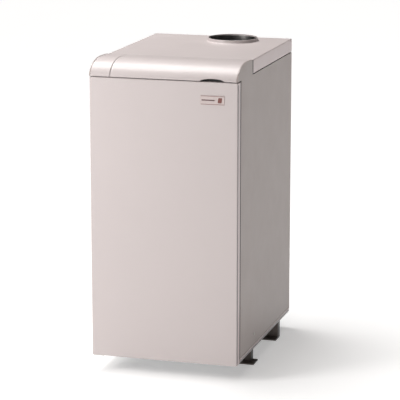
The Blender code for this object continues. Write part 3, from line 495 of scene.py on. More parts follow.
def spangled(name, colour, dark):
    """Hot-dip galvanised sheet: crystal spangles, each with its own shade and gloss."""
    made, tree, shader = material(name, 0.92)
    place = place_of(tree)
    drift = node(tree, "TexNoise", {"Vector": place, "Scale": 60.0, "Detail": 3.0}).outputs["Color"]
    bent = node(tree, "VectorMath", {0: drift, 1: (0.012, 0.012, 0.012)}, operation="MULTIPLY").outputs[0]
    crystals = node(tree, "TexVoronoi", {"Vector": node(tree, "VectorMath", {0: place, 1: bent}).outputs[0],
                                         "Scale": 120.0})
    tone = node(tree, "SeparateXYZ", {"Vector": crystals.outputs["Color"]})
    shade = mix(tree, tone.outputs["X"], dark, colour)
    dull = spread(tree, noise_value(tree, place, 9.0, 5.0, 0.6), 0.0, 0.45)
    shade = mix(tree, dull, shade, (0.30, 0.30, 0.30))
    tree.links.new(shade, shader.inputs["Base Color"])
    tree.links.new(spread(tree, tone.outputs["Y"], 0.34, 0.55, 0.0, 1.0), shader.inputs["Roughness"])
    bump(tree, shader, crystals.outputs["Distance"], 0.05)
    return made


def crinkled_foil():
    """Aluminium foil over mineral wool, with fine creases and a reinforcing scrim."""
    made, tree, shader = material("foil", 0.95)
    place = place_of(tree)
    creases = node(tree, "TexVoronoi", {"Vector": place, "Scale": 55.0}, feature="DISTANCE_TO_EDGE")
    folds = spread(tree, creases.outputs["Distance"], 0.0, 1.0, 0.0, 0.25)
    waves = noise_value(tree, place, 35.0, 6.0, 0.65, 0.8)
    scrim = node(tree, "TexBrick", {"Vector": place_of(tree, (1.0, 1.0, 1.0)), "Scale": 80.0})
    # The colour goes lighter on the raised crinkle waves and darker in their hollows: painted shade.
    shade = mix(tree, spread(tree, waves, 0.0, 1.0), (0.50, 0.50, 0.51), (0.74, 0.74, 0.74))
    tree.links.new(mix(tree, 0.06, shade, scrim.outputs["Color"]), shader.inputs["Base Color"])
    tree.links.new(spread(tree, waves, 0.22, 0.42), shader.inputs["Roughness"])
    bump(tree, shader, combine(tree, "ADD", waves, folds), 0.8)
    return made


def clear_glass(name, tint):
    made, tree, shader = material(name)
    place = place_of(tree)
    shader.inputs["Transmission Weight"].default_value = 1.0
    shader.inputs["IOR"].default_value = 1.45
    shader.inputs["Specular IOR Level"].default_value = 0.15
    haze = noise_value(tree, place, 120.0, 4.0)
    tree.links.new(mix(tree, haze, tint, tuple(0.94 * value for value in tint)), shader.inputs["Base Color"])
    tree.links.new(spread(tree, haze, 0.01, 0.05), shader.inputs["Roughness"])
    return made


ENAMEL_TINT = (0.51, 0.456, 0.449)
ENAMEL_GLOSS = (0.40, 0.47)


def enamelled(name, shade, gloss=ENAMEL_GLOSS):
    """The casing's enamel, in its own tint times a factor; a factor below one paints shade and one above one
    paints light.
    """
    tint = tuple(value * share for value, share in zip(ENAMEL_TINT, shade))
    return painted(name, tint, 0.012, gloss, 900.0, 0.010, coat=0.10)


enamel = enamelled("enamel", (1.0, 1.0, 1.0))
# A darker copy of the enamel for the side sheets: painted shade.
enamel_side_painted_shade = enamelled("enamel_side_painted_shade", (0.705, 0.655, 0.622))
# A still darker copy for the hem band under the side bead: painted shade.
enamel_hem_painted_shade = enamelled("enamel_hem_painted_shade", (0.50, 0.50, 0.50))
# A lighter copy of the enamel for the cover's skirt, the door's side returns and the side bead: painted
# light.
enamel_painted_light = enamelled("enamel_painted_light", (1.28, 1.20, 1.21), (0.36, 0.44))
black_paint = painted("black_paint", (0.130, 0.108, 0.096), 0.30, (0.38, 0.55), 700.0, 0.03,
                      edge=((0.10, 0.095, 0.09), 1.2), cloud=30.0)
trim = painted("badge_plate", (0.52, 0.44, 0.425), 0.03, (0.25, 0.35), 500.0, 0.004, coat=0.3)
trim_line = painted("badge_line", (0.24, 0.155, 0.145), 0.08, (0.3, 0.4), 500.0, 0.004)
trim_dark = painted("badge_dark", (0.085, 0.045, 0.042), 0.10, (0.3, 0.4), 500.0, 0.004)
trim_red = painted("badge_red", (0.165, 0.055, 0.045), 0.10, (0.25, 0.35), 500.0, 0.004, coat=0.3)
zinc = metal("zinc", (0.60, 0.60, 0.57), (0.46, 0.46, 0.44), (0.28, 0.48), grain=500.0,
             stain=((0.52, 0.50, 0.40), 60.0, 0.5))
flue_steel = metal("flue_steel", (0.26, 0.25, 0.245), (0.15, 0.145, 0.14), (0.28, 0.48), grain=400.0,
                   stain=((0.05, 0.045, 0.045), 30.0, 0.5))
galvanised = spangled("galvanised", (0.52, 0.53, 0.54), (0.40, 0.41, 0.42))
stainless = metal("stainless", (0.60, 0.54, 0.46), (0.40, 0.32, 0.26), (0.22, 0.42), (1.0, 12.0, 1.0), 90.0,
                  0.01, stain=((0.24, 0.22, 0.34), 25.0, 0.6))
brass = metal("brass", (0.72, 0.50, 0.19), (0.50, 0.33, 0.12), (0.22, 0.45), grain=420.0,
              stain=((0.30, 0.20, 0.10), 70.0, 0.5))
copper = metal("copper", (0.72, 0.34, 0.20), (0.45, 0.20, 0.12), (0.22, 0.42), grain=300.0,
               stain=((0.25, 0.12, 0.08), 60.0, 0.5))
cast_alloy = metal("cast_alloy", (0.52, 0.52, 0.51), (0.40, 0.40, 0.40), (0.45, 0.65), grain=900.0,
                   depth=0.05)
polished = metal("polished", (0.72, 0.72, 0.71), (0.60, 0.60, 0.60), (0.08, 0.20), grain=300.0, depth=0.003)
cast_iron = painted("cast_iron", (0.060, 0.058, 0.058), 0.35, (0.62, 0.85), 380.0, 0.35,
                    edge=((0.16, 0.14, 0.12), 2.0), cloud=25.0)
pipe_paint = painted("pipe_paint", (0.055, 0.055, 0.060), 0.25, (0.35, 0.55), 420.0, 0.05,
                     edge=((0.22, 0.21, 0.20), 1.0), cloud=30.0)
black_plastic = painted("black_plastic", (0.020, 0.020, 0.021), 0.15, (0.38, 0.50), 1500.0, 0.02, cloud=30.0)
panel_plastic = painted("panel_plastic", (0.060, 0.064, 0.070), 0.08, (0.42, 0.52), 1600.0, 0.03, cloud=12.0)
box_plastic = painted("box_plastic", (0.24, 0.25, 0.26), 0.06, (0.45, 0.58), 1200.0, 0.03, cloud=10.0)
red_plastic = painted("red_plastic", (0.42, 0.020, 0.014), 0.12, (0.25, 0.38), 900.0, 0.01, cloud=40.0,
                      coat=0.3)
# Near-black paint for the pointers, also laid on the feet as painted shade.
needle_black_and_painted_shade = painted("needle_black_and_painted_shade", (0.012, 0.012, 0.012), 0.2, (0.35, 0.5), 900.0, 0.005, cloud=60.0)
ceramic = painted("ceramic", (0.72, 0.68, 0.58), 0.06, (0.12, 0.25), 300.0, 0.01, cloud=80.0, coat=0.6)
print_white = painted("print_white", (0.70, 0.70, 0.68), 0.05, (0.4, 0.5), 900.0, 0.003, cloud=50.0)
dial_white = painted("dial_white", (0.76, 0.75, 0.71), 0.02, (0.45, 0.55), 1200.0, 0.003, cloud=20.0)
print_black = painted("print_black", (0.015, 0.015, 0.015), 0.1, (0.4, 0.5), 900.0, 0.003, cloud=50.0)
cable_sleeve = painted("cable_sleeve", (0.45, 0.45, 0.43), 0.08, (0.45, 0.6), 500.0, 0.02, cloud=60.0)
cable_blue = painted("cable_blue", (0.02, 0.07, 0.30), 0.12, (0.4, 0.5), 500.0, 0.02, cloud=60.0)
cable_brown = painted("cable_brown", (0.10, 0.035, 0.015), 0.12, (0.4, 0.5), 500.0, 0.02, cloud=60.0)
foil = crinkled_foil()
dial_glass = clear_glass("dial_glass", (1.0, 1.0, 1.0))
furnace_glass = clear_glass("furnace_glass", (0.55, 0.36, 0.20))


# ---------------------------------------------------------------- camera, light and floor

KEY_POWER = 27.5
OVERHEAD_POWER = 56.0
SUN_POWER = 1.15
WORLD_POWER = 0.05
NEAR_GLOW = 0.36
FAR_GLOW = 0.68
LAMP_TARGET = Vector((0.0, 0.0, 0.45))
WARM_LIGHT = (1.0, 0.985, 0.975)
SKY_LIGHT = (1.0, 0.985, 0.97)
FLOOR_SIZE = 30000.0


def studio():
    camera = linked("camera", bpy.data.cameras.new("camera"))
    camera.data.lens = 183.9
    camera.data.sensor_width = 36.0
    camera.data.clip_end = 100.0
    camera.location = (1.63665, -5.51508, 1.70716)
    camera.rotation_euler = (math.radians(90.0 - 12.41), 0.0, math.radians(16.41))
    bpy.context.scene.camera = camera

    lamp("key", (-1.40, -1.60, 1.10), 0.9, KEY_POWER, WARM_LIGHT)
    lamp("overhead", (-0.65, 0.40, 2.75), 1.6, OVERHEAD_POWER, WARM_LIGHT)
    sun("sky_light", (-0.20, -0.40, 0.90), 60.0, SUN_POWER, SKY_LIGHT)

    world = bpy.data.worlds.new("studio")
    bpy.context.scene.world = world
    world.use_nodes = True
    back = world.node_tree.nodes["Background"]
    back.inputs["Color"].default_value = (*SKY_LIGHT, 1.0)
    back.inputs["Strength"].default_value = WORLD_POWER
    bpy.context.scene.view_settings.view_transform = "Standard"

    plain, tree, shader = material("floor")
    place = place_of(tree)
    tree.links.new(mix(tree, noise_value(tree, place, 3.0), (0.86, 0.86, 0.86), (0.90, 0.90, 0.90)),
                   shader.inputs["Base Color"])
    shader.inputs["Roughness"].default_value = 0.9
    shader.inputs["Emission Color"].default_value = (1.0, 0.995, 0.99, 1.0)
    away = node(tree, "VectorMath", {0: place}, operation="LENGTH").outputs["Value"]
    tree.links.new(spread(tree, away, NEAR_GLOW, FAR_GLOW, 1.2, 3.0), shader.inputs["Emission Strength"])
    ground = bmesh.new()
    bmesh.ops.create_grid(ground, x_segments=4, y_segments=4, size=FLOOR_SIZE)
    floor = raw_object("floor", ground)
    floor.data.materials.append(plain)


def light(name, kind, power, color, turn, place=(0.0, 0.0, 0.0)):
    data = bpy.data.lights.new(name, kind)
    data.energy = power
    data.color = color
    item = linked(name, data)
    item.location = place
    item.rotation_euler = turn.to_euler()
    return data


def sun(name, towards, softness, power, color):
    turn = Vector(towards).to_track_quat("Z", "Y")
    light(name, "SUN", power, color, turn).angle = math.radians(softness)


def lamp(name, place, size, power, color):
    turn = (LAMP_TARGET - Vector(place)).to_track_quat("-Z", "Y")
    data = light(name, "AREA", power, color, turn, place)
    data.shape = "DISK"
    data.size = size


studio()

# ---------------------------------------------------------------- casing

def hood_surface(inset):
    """The hood from its lower front edge to the top of its rear barrel, as (y, z) points."""
    centre = (FLAP_LOW.y + NOSE_DEPTH, FLAP_LOW.z)
    points = arc(centre, (NOSE_DEPTH - inset, NOSE_HEIGHT - inset), 180.0, 90.0, 28)
    crown = FLAP_LOW.z + NOSE_HEIGHT - inset
    drop = crown + inset - (FLAP_AXIS.z + 5.0)
    run = FLAP_AXIS.y - centre[0]
    for step in range(1, 9):
        part = step / 8.0
        points.append((centre[0] + run * part, crown - drop * part ** 2))
    return points


def hood_outline():
    """The moulded hood: a beaded lower lip, a skin of even thickness and a barrel on the hinge axis."""
    barrel = arc((FLAP_AXIS.y, FLAP_AXIS.z), (5.0, 5.0), 70.0, -210.0, 24)
    lip = arc((FLAP_LOW.y + 2.0, FLAP_LOW.z + 1.6), (2.0, 1.6), 180.0, 360.0, 8)
    outer = [point for point in hood_surface(0.0) if point[1] > FLAP_LOW.z + 1.6]
    inner = [point for point in reversed(hood_surface(HOOD_THICKNESS)) if point[1] > FLAP_LOW.z + 4.0]
    return lip[:1] + outer + barrel + inner[1:] + [lip[-1]] + lip[-2:0:-1]


def sheet_piece(name, shape, bend, surface, *nodes, body="cabinet", cuts=(), joins=()):
    """A piece of folded sheet from a surface of single faces that point outwards."""
    item = raw_object(name, shape)
    folds = item.modifiers.new("bend", "BEVEL")
    folds.width = bend * MM
    folds.segments = 4
    folds.limit_method = "ANGLE"
    folds.angle_limit = math.radians(25.0)
    wall = item.modifiers.new("thicken", "SOLIDIFY")
    wall.thickness = SHEET * MM
    wall.offset = -1.0
    wall.solidify_mode = "NON_MANIFOLD"
    wall.nonmanifold_thickness_mode = "CONSTRAINTS"
    settle(item)
    shape = bmesh.new()
    shape.from_mesh(item.data)
    bmesh.ops.scale(shape, vec=(1.0 / MM,) * 3, verts=shape.verts)
    bpy.data.objects.remove(item)
    return piece(name, shape, surface, "enamel", *nodes, body=body, cuts=cuts, joins=joins, bevel=0.25,
                 segments=1)


def open_box(low, high, outward, lip):
    """A box of single faces that is open on one side, with a lip turned inwards round the opening."""
    shape = box(low, high)
    gone = [face for face in shape.faces if face.normal.dot(Vector(outward)) > 0.9]
    bmesh.ops.inset_region(shape, faces=gone, thickness=lip)
    bmesh.ops.delete(shape, geom=gone, context="FACES")
    return shape


def side_strip(side, deep, shallow, low, high):
    """A box between two depths under a side face and two corners in (y, z)."""
    inner, outer = sorted((side * (HALF_WIDTH - deep), side * (HALF_WIDTH - shallow)))
    return box((inner, *low), (outer, *high))


def repaint(item, surface, chosen):
    """Give some faces of a piece a second paint."""
    item.data.materials.append(surface)
    for face in item.data.polygons:
        if chosen(face):
            face.material_index = 1


def side_shell(name, side, node):
    """The side sheet: folded edges, a rimmed cheek beside the hood and a beaded, stepped hem."""
    outer = side * HALF_WIDTH
    hem_top = SIDE_LOW.z + HEM_HEIGHT
    sheet_top = edges("rear_panel")[1].z
    cheek_rear = COVER_LOW.y - COVER_SEAM
    rim = [(PANEL_FRONT, FLAP_LOW.z)]
    rim += [point for point in hood_surface(0.0) if point[0] < cheek_rear - 2.0]
    rim.append((cheek_rear, FLAP_AXIS.z + 4.8))
    outline = [(PANEL_FRONT, hem_top), (PANEL_FRONT, DOOR_HIGH.z - 1.0), *rim, (cheek_rear, sheet_top),
               (SIDE_HIGH.y, sheet_top), (SIDE_HIGH.y, hem_top)]
    shape = bmesh.new()
    skin = [shape.verts.new((outer, y, z)) for y, z in outline]
    shape.faces.new(skin)

    def strip(row, x, drop=0.0):
        after = [shape.verts.new((x, v.co.y, v.co.z + drop)) for v in row]
        for step in range(len(row) - 1):
            shape.faces.new([row[step], after[step], after[step + 1], row[step + 1]])
        return after

    strip(skin[2:2 + len(rim)], outer - side * RIM_WIDTH)
    strip([skin[1], skin[0]], outer - side * FOLD)
    strip([skin[-1], skin[-2]], outer - side * FOLD)
    hem = strip([skin[0], skin[-1]], outer - side * HEM_DEPTH, -1.0)
    lower = [shape.verts.new((v.co.x, v.co.y, SIDE_LOW.z)) for v in hem]
    shape.faces.new([hem[0], lower[0], lower[1], hem[1]])
    strip(lower, outer - side * FOLD)
    bmesh.ops.recalc_face_normals(shape, faces=shape.faces)
    shape.faces.ensure_lookup_table()
    if shape.faces[0].normal.x * side < 0.0:
        bmesh.ops.reverse_faces(shape, faces=shape.faces)
    # The side sheet takes the darker enamel copy: painted shade.
    sheet = sheet_piece(name, shape, 1.0, enamel_side_painted_shade, node)
    # The hem band below the bead gets the still darker copy: painted shade.
    repaint(sheet, enamel_hem_painted_shade, lambda face: face.center.z < hem_top * MM and abs(face.normal.x) > 0.5)
    # The hem bead gets the lighter enamel copy: a painted highlight.
    bead = [(outer + side * x, hem_top + z) for x, z in HEM_BEAD]
    piece(name + "_bead", prism(bead, "y", PANEL_FRONT + 3.0, SIDE_HIGH.y - 3.0), enamel_painted_light, "enamel",
          bevel=0.4, smooth=25.0)


def door_shell():
    pin = joint_place("door_hinge")
    cuts = [rod(3.3, z - 15.0, z + 15.0, (pin.x, pin.y), "z") for z in (DOOR_LOW.z, DOOR_HIGH.z)]
    cuts += [box((x - 3.0, DOOR_LOW.y + 3.0, DOOR_LOW.z + 6.0),
                 (x + 3.0, DOOR_LOW.y + 9.5, DOOR_HIGH.z - 6.0)) for x in (DOOR_LOW.x, DOOR_HIGH.x)]
    skin = sheet_piece("door_shell", open_box(DOOR_LOW, DOOR_HIGH, (0.0, 1.0, 0.0), 5.0), 2.4, enamel,
                       "door_panel", body="door", cuts=cuts)
    # The door's side returns get the lighter enamel copy: painted light.
    repaint(skin, enamel_painted_light, lambda face: abs(face.normal.x) > 0.9 and abs(face.center.x) > 0.2)
    for number, side in enumerate((-1.0, 1.0), 1):
        # Black strips fill the slits behind the door's front edges so that they read as dark lines: painted
        # shade.
        slit_shade = side_strip(side, 2.6, 0.5, (DOOR_LOW.y + 3.1, DOOR_LOW.z + 6.1),
                          (DOOR_LOW.y + 9.4, DOOR_HIGH.z - 6.1))
        piece("door_slit_shade_%d" % number, slit_shade, black_plastic, "enamel", body="door", bevel=0.2)
        # Black strips fill the gap between the door and the side sheets so that it reads dark: painted shade.
        gap_shade = side_strip(side, 5.4, 0.6, (DOOR_HIGH.y + 2.3, DOOR_LOW.z + 12.0),
                          (PANEL_FRONT + 0.1, DOOR_HIGH.z - 2.0))
        piece("door_gap_shade_%d" % number, gap_shade, black_plastic, "enamel", bevel=0.5)


def badge():
    """A plain plate with two fine grooves, a dark bar and a dark red block, without any lettering."""
    low, high = edges("door_badge")
    centre = (low + high) / 2.0
    face = low.y
    piece("badge_plate", slab("y", (low.x, face + 0.15, low.z), high, 3.0), trim, "badge_trim", "door_badge",
          body="door", bevel=0.3)
    lines = [slab("y", (low.x + 1.5, face, z - 0.8), (high.x - 1.5, face + 0.4, z + 0.8), 0.7)
             for z in (low.z + 1.9, high.z - 1.9)]
    bar = [(low.x + 4.0, centre.z - 1.6), (centre.x + 4.0, centre.z - 1.6), (centre.x + 9.0, centre.z),
           (centre.x + 4.0, centre.z + 1.6), (low.x + 4.0, centre.z + 1.6)]
    block = rounded([(high.x - 19.0, low.z + 6.0), (high.x - 8.0, low.z + 6.0), (high.x - 6.0, high.z - 6.0),
                     (high.x - 17.0, high.z - 6.0)], 2.0)
    for name, shape, surface in (("lines", blended(*lines), trim_line),
                                 ("bar", prism(bar, "y", face, face + 0.4), trim_dark),
                                 ("block", prism(block, "y", face, face + 0.4), trim_red)):
        piece("badge_" + name, shape, surface, "badge_trim", body="door", bevel=0.12)


def hood():
    """The hood's flap, notched over the badge and round its hinges, and the fixed end piece beside it."""
    notch = arc((middle("door_badge").x, FLAP_LOW.z - 1.0), (35.0, 8.0), 0.0, 180.0, 40)
    cuts = [prism(notch, "y", FLAP_LOW.y - 10.0, FLAP_LOW.y + 14.0)]
    for name in ("flap_hinge_left", "flap_hinge_right"):
        knuckle = Vector((middle(name).x, FLAP_AXIS.y, FLAP_AXIS.z))
        half = Vector((6.0, 6.0, 6.0))
        cuts.append(box(knuckle - half, knuckle + half))
        cuts.append(rod(2.3, knuckle.x - 14.5, knuckle.x + 14.5, (FLAP_AXIS.y, FLAP_AXIS.z), "x"))
    rim = RIM_WIDTH + 0.5
    piece("hood_flap", prism(hood_outline(), "x", FLAP_LOW.x, HALF_WIDTH - rim), enamel, "enamel",
          "control_flap", body="flap", bevel=0.8, segments=3, cuts=cuts)
    end = edges("hood_end_piece")[1].x
    piece("hood_end_shell", prism(hood_outline(), "x", -HALF_WIDTH + rim, end), enamel, "enamel",
          "hood_end_piece", bevel=0.8, segments=3)


def top_cover_shell():
    """The top cover: rounded edges, a turned-in skirt and a raised ring round the flue opening."""
    top = COVER_HIGH.z
    neck = [(71.4, top - 0.8), (78.0, top - 0.8), (76.2, top - 0.1), (74.2, top + 1.4), (73.2, top + 3.4),
            (72.8, FLUE_TOP - 2.2)]
    neck += [(71.4 + 1.4 * math.cos(angle), FLUE_TOP - 1.6 + 1.5 * math.sin(angle))
             for angle in (0.3, 0.8, 1.3, 1.8, 2.4, 3.0)]
    neck += [(71.0, FLUE_TOP - 2.6), (71.4, top + 3.0)]
    cover = sheet_piece("top_cover_shell", open_box(COVER_LOW, COVER_HIGH, (0.0, 0.0, -1.0), 7.0), 3.0,
                        enamel, "top_cover", cuts=[rod(71.5, top - THROUGH, top + THROUGH, (FLUE.x, FLUE.y),
                                                       "z", 96)],
                        joins=[turned(neck, (FLUE.x, FLUE.y, 0.0), "z", 128, ring=True)])
    # The skirt's side faces get the lighter enamel copy: painted light.
    repaint(cover, enamel_painted_light, lambda face: abs(face.normal.x) > 0.8 and abs(face.center.x) > 0.2)
    for name, side in (("left", -1.0), ("right", 1.0)):
        # Black strips close the seam between each side sheet's cheek and the cover so that it reads dark:
        # painted shade.
        seam_shade = side_strip(side, 2.8, 0.5, (COVER_LOW.y - COVER_SEAM + 0.2, COVER_LOW.z - 1.0),
                            (COVER_LOW.y - 0.2, COVER_HIGH.z - 1.5))
        piece("seam_shade_backing_" + name, seam_shade, black_plastic, "enamel", bevel=0.3)


def foot(name, node, web_offset, chamfer):
    """A folded steel profile across the boiler: floor leaf, upright with end lips, leaf under the tray."""
    low, high = edges(node)
    plate = 4.0
    web = low.y + (high.y - low.y) / 2.0
    reach = high.x
    web_reach = reach - web_offset
    shoulder = DOOR_LOW.z - 0.5
    leaf = [(-reach, low.y), (reach, low.y), (reach, high.y - chamfer), (reach - chamfer, high.y),
            (-reach + chamfer, high.y), (-reach, high.y - chamfer)]
    upright = sheet_section(rounded([(web, 0.5), (web, high.z), (high.y, high.z)], 6.0, closed=False), -plate)
    joins = [prism(upright, "x", -193.0, 193.0)]
    cuts = []
    for side in (-1.0, 1.0):
        if web_offset < 10.0:
            joins.append(box((side * 190.0, web, 1.0), (side * web_reach, web + plate, shoulder)))
        joins.append(box((side * (web_reach - plate), web, 1.0), (side * web_reach, high.y - 1.5, shoulder)))
        cuts.append(rod(6.0, web - THROUGH, web + THROUGH, (side * (web_reach - 30.0), 24.0), "y"))
    profile = piece(name, prism(leaf, "z", 0.0, plate), black_paint, "black_steel", node, joins=joins,
                    cuts=cuts, bevel=0.9)
    # The sideways end faces and the lowest faces take the near-black paint while the rest keeps the lighter
    # paint: painted shade.
    repaint(profile, needle_black_and_painted_shade, lambda face: abs(face.normal.x) > 0.5 or face.center.z < 2.0 * MM)


def flue_collar():
    """The flue collar: an open ring with a rolled rim and a flange on the cover."""
    low, high = edges("flue_collar")
    outer = 70.0
    wall = 1.5
    rim = high.z - 3.4
    flange = (high.x - low.x) / 2.0
    profile = [(flange, low.z), (flange, low.z + wall), (outer + 1.5, low.z + wall), (outer, low.z + 3.0),
               (outer, rim - 1.0), (outer - 0.3, rim - 0.2), (outer - 0.75, rim), (outer - 1.2, rim - 0.2),
               (outer - wall, rim - 1.0), (outer - wall, low.z)]
    piece("flue_ring", turned(profile, (FLUE.x, FLUE.y, 0.0), "z", 128, ring=True), flue_steel, "black_steel",
          "flue_collar", smooth=50.0)


def side_screw(name, side, node):
    centre = middle(node)
    place = (side * (HALF_WIDTH + GAP), centre.y, centre.z)
    turn = Matrix.Rotation(side * math.pi / 2.0, 3, "Y")
    head = turned([(4.5, 0.0), (4.5, 0.4), (3.9, 0.85), (2.4, 1.15), (0.0, 1.2)])
    cross = [box((-3.0, -0.6, 0.5), (3.0, 0.6, 3.0)), box((-0.6, -3.0, 0.5), (0.6, 3.0, 3.0))]
    piece(name, moved(head, place, turn), zinc, "zinc_steel", node,
          cuts=[moved(slot, place, turn) for slot in cross])


side_shell("side_shell_left", -1.0, "side_panel_left")
side_shell("side_shell_right", 1.0, "side_panel_right")
door_shell()
badge()
hood()
top_cover_shell()
foot("foot_front", "front_foot", 14.0, 1.5)
foot("foot_rear", "rear_foot", 0.0, 9.0)
flue_collar()
side_screw("screw_left", -1.0, "side_screw_left")
side_screw("screw_right", 1.0, "side_screw_right")


# ---------------------------------------------------------------- hinges, catch and door lining

def door_hinges():
    pin = joint_place("door_hinge")
    place = (pin.x, pin.y, 0.0)
    low, high = edges("door_hinge_lower")
    plate = box((-209.0, low.y, low.z), (low.x + 31.0, low.y + 37.0, low.z + 2.2))
    joins = [box((low.x + 14.5, low.y + 20.0, low.z), (low.x + 31.0, high.y, low.z + 2.2)),
             box((low.x + 14.5, high.y - 2.0, low.z), (low.x + 31.0, high.y, high.z - 1.2)),
             turned([(3.0, low.z + 0.5), (3.0, high.z - 1.5), (2.0, high.z - 0.3), (0.0, high.z)], place,
                    "z", 32)]
    piece("hinge_lower", plate, zinc, "zinc_steel", "door_hinge_lower", joins=joins, bevel=0.4)
    low, high = edges("door_hinge_upper")
    plate = box((low.x, low.y, high.z - 2.0), high)
    joins = [box((low.x, high.y - 45.0, low.z + (high.z - low.z) * 0.1), (low.x + 2.0, high.y, high.z)),
             turned([(0.0, low.z + 26.0), (2.0, low.z + 26.3), (3.0, low.z + 28.0), (3.0, high.z - 0.5)],
                    place, "z", 32)]
    piece("hinge_upper", plate, zinc, "zinc_steel", "door_hinge_upper", joins=joins, bevel=0.4)


def flap_hinge(name, node):
    low, high = edges(node)
    x = middle(node).x
    half = [(4.7, 5.3), (4.3, 5.7), (2.0, 5.7), (2.0, 13.4), (1.6, 14.0)]
    profile = [(radius, -reach) for radius, reach in reversed(half)] + half
    leaf = box((x - 5.7, high.y - 2.2, low.z), (x + 5.7, high.y, FLAP_AXIS.z))
    heads = [screw_head(2.6, 1.4, (x, high.y - 2.2, low.z + drop), "y", -1.0) for drop in (6.0, 15.0)]
    piece(name, turned(profile, (x, FLAP_AXIS.y, FLAP_AXIS.z), "x", 40), zinc, "zinc_steel", node,
          joins=[leaf] + heads, bevel=0.25)


def magnet_catch():
    low, high = edges("magnet_catch")
    piece("catch_body", box(low, (high.x, PANEL_FRONT + 0.2, high.z)), black_plastic, "black_plastic",
          "magnet_catch", bevel=1.5, segments=3)
    poles = [box((x - 1.0, low.y - 0.25, low.z + 4.0), (x + 1.0, low.y + 1.0, high.z - 4.0))
             for x in (low.x + 6.0, high.x - 6.0)]
    piece("catch_poles", blended(*poles), zinc, "zinc_steel")


def crumpled_slab(low, high, step, depth):
    """A padded slab whose rear face (+y) is gently crumpled and pinched towards its edges."""
    across = max(2, int((high.x - low.x) / step))
    tall = max(2, int((high.z - low.z) / step))
    shape = bmesh.new()
    rows = []
    for k in range(tall + 1):
        row = []
        for i in range(across + 1):
            x = low.x + (high.x - low.x) * i / across
            z = low.z + (high.z - low.z) * k / tall
            margin = min(x - low.x, high.x - x, z - low.z, high.z - z)
            crown = 1.0 - math.exp(-margin / 8.0)
            wave = 0.5 + 0.5 * noise.noise(Vector((x * 0.035, z * 0.035, 3.0)))
            fine = 0.5 + 0.5 * noise.noise(Vector((x * 0.12, z * 0.12, 9.0)))
            y = high.y - 5.0 * (1.0 - crown) - depth * wave - 0.4 * depth * fine
            row.append(shape.verts.new((x, max(y, low.y + 2.0), z)))
        rows.append(row)
    for k in range(tall):
        for i in range(across):
            shape.faces.new((rows[k][i], rows[k + 1][i], rows[k + 1][i + 1], rows[k][i + 1]))
    rim = [rows[0][i] for i in range(across)] + [rows[k][across] for k in range(tall)]
    rim += [rows[tall][i] for i in range(across, 0, -1)] + [rows[k][0] for k in range(tall, 0, -1)]
    back = [shape.verts.new((v.co.x, low.y, v.co.z)) for v in rim]
    for index, corner in enumerate(rim):
        after = (index + 1) % len(rim)
        shape.faces.new((corner, rim[after], back[after], back[index]))
    shape.faces.new(back)
    bmesh.ops.recalc_face_normals(shape, faces=shape.faces)
    return shape


def door_lining():
    low, high = edges("door_insulation")
    piece("door_mat", crumpled_slab(low, high, 7.0, 1.4), foil, "foil_wool", "door_insulation", body="door",
          smooth=60.0)
    profile = [(15.0, -4.5), (15.0, -3.2), (12.0, -2.4), (4.0, -2.0), (2.0, -0.2), (0.0, 0.0)]
    clips = [turned(profile, (x, high.y, z), "y", 32)
             for x in (low.x + 45.0, (low.x + high.x) / 2.0, high.x - 45.0)
             for z in (low.z + 60.0, (low.z + high.z) / 2.0, high.z - 60.0)]
    piece("mat_clips", blended(*clips), zinc, "foil_wool", body="door", smooth=50.0)


# ---------------------------------------------------------------- exchanger

def section(number):
    """One cast section: ribbed front and rear, recessed flueways and, at the ends, lugs for the tie rods."""
    name = "exchanger_section_%d" % number
    low, high = edges(name)
    front = edges("exchanger_section_2")[0].y
    corner = 22.0

    def web(inset, start, end):
        outline = [(front + inset + corner, low.z), (high.y - inset - corner, low.z),
                   (high.y - inset, low.z + corner), (high.y - inset, high.z - corner),
                   (high.y - inset - corner, high.z), (front + inset + corner, high.z),
                   (front + inset, high.z - corner), (front + inset, low.z + corner)]
        return prism(rounded(outline, 12.0), "x", start, end)

    centre = middle(name)
    joins = [web(0.0, x, x + 7.0) for x in (low.x, high.x - 7.0)]
    joins += [box((low.x + 4.0, front + 1.0, z - 4.0), (high.x - 4.0, front + 20.0, z + 4.0))
              for z in (low.z + 95.0, centre.z, high.z - 95.0)]
    joins += [turned([(19.0, front), (23.0, front + 6.0), (23.0, front + 12.0)], (centre.x, 0.0, z), "y", 40)
              for z in (low.z + 46.0, high.z - 46.0)]
    cuts = [box((side - 30.0, front + 20.0, low.z - 50.0), (side + 30.0, high.y - 20.0, high.z + 50.0))
            for side in (low.x, high.x)]
    if number in (1, 4):
        edge, inward = (low.x, 14.0) if number == 1 else (high.x, -14.0)
        start, end = sorted((edge, edge + inward))
        for rod_name in ("tie_rod_upper", "tie_rod_lower"):
            at = middle(rod_name)
            joins.append(slab("x", (start, at.y - 10.0, at.z - 12.0), (end, front + 12.0, at.z + 12.0), 5.0))
            cuts.append(rod(5.5, edge - THROUGH, edge + THROUGH, (at.y, at.z), "x"))
    piece("cast_section_%d" % number, web(3.0, low.x + 1.2, high.x - 1.2), cast_iron, "cast_iron", name,
          joins=joins, cuts=cuts, bevel=1.6)


def tie_rod(name, node):
    """A rod threaded at both ends, with a nut and a washer on each."""
    low, high = edges(node)
    centre = (middle(node).y, middle(node).z)
    thread = threaded(5.0, high.x, high.x - 26.0, 1.5, 0.6)
    profile = [(0.0, low.x)] + [(radius, -height) for radius,
                                height in thread] + thread[::-1] + [(0.0, high.x)]
    joins = []
    for side in (-1.0, 1.0):
        seat = side * (170.0 + GAP)
        joins.append(hexagon(15.6, *sorted((seat + side * 1.6, seat + side * 6.6)), centre, "x"))
        joins.append(rod(9.0, *sorted((seat, seat + side * 1.5)), centre, "x"))
    piece(name, turned(profile, on_axis(centre, "x"), "x", 28), zinc, "zinc_steel", node, joins=joins,
          smooth=30.0)


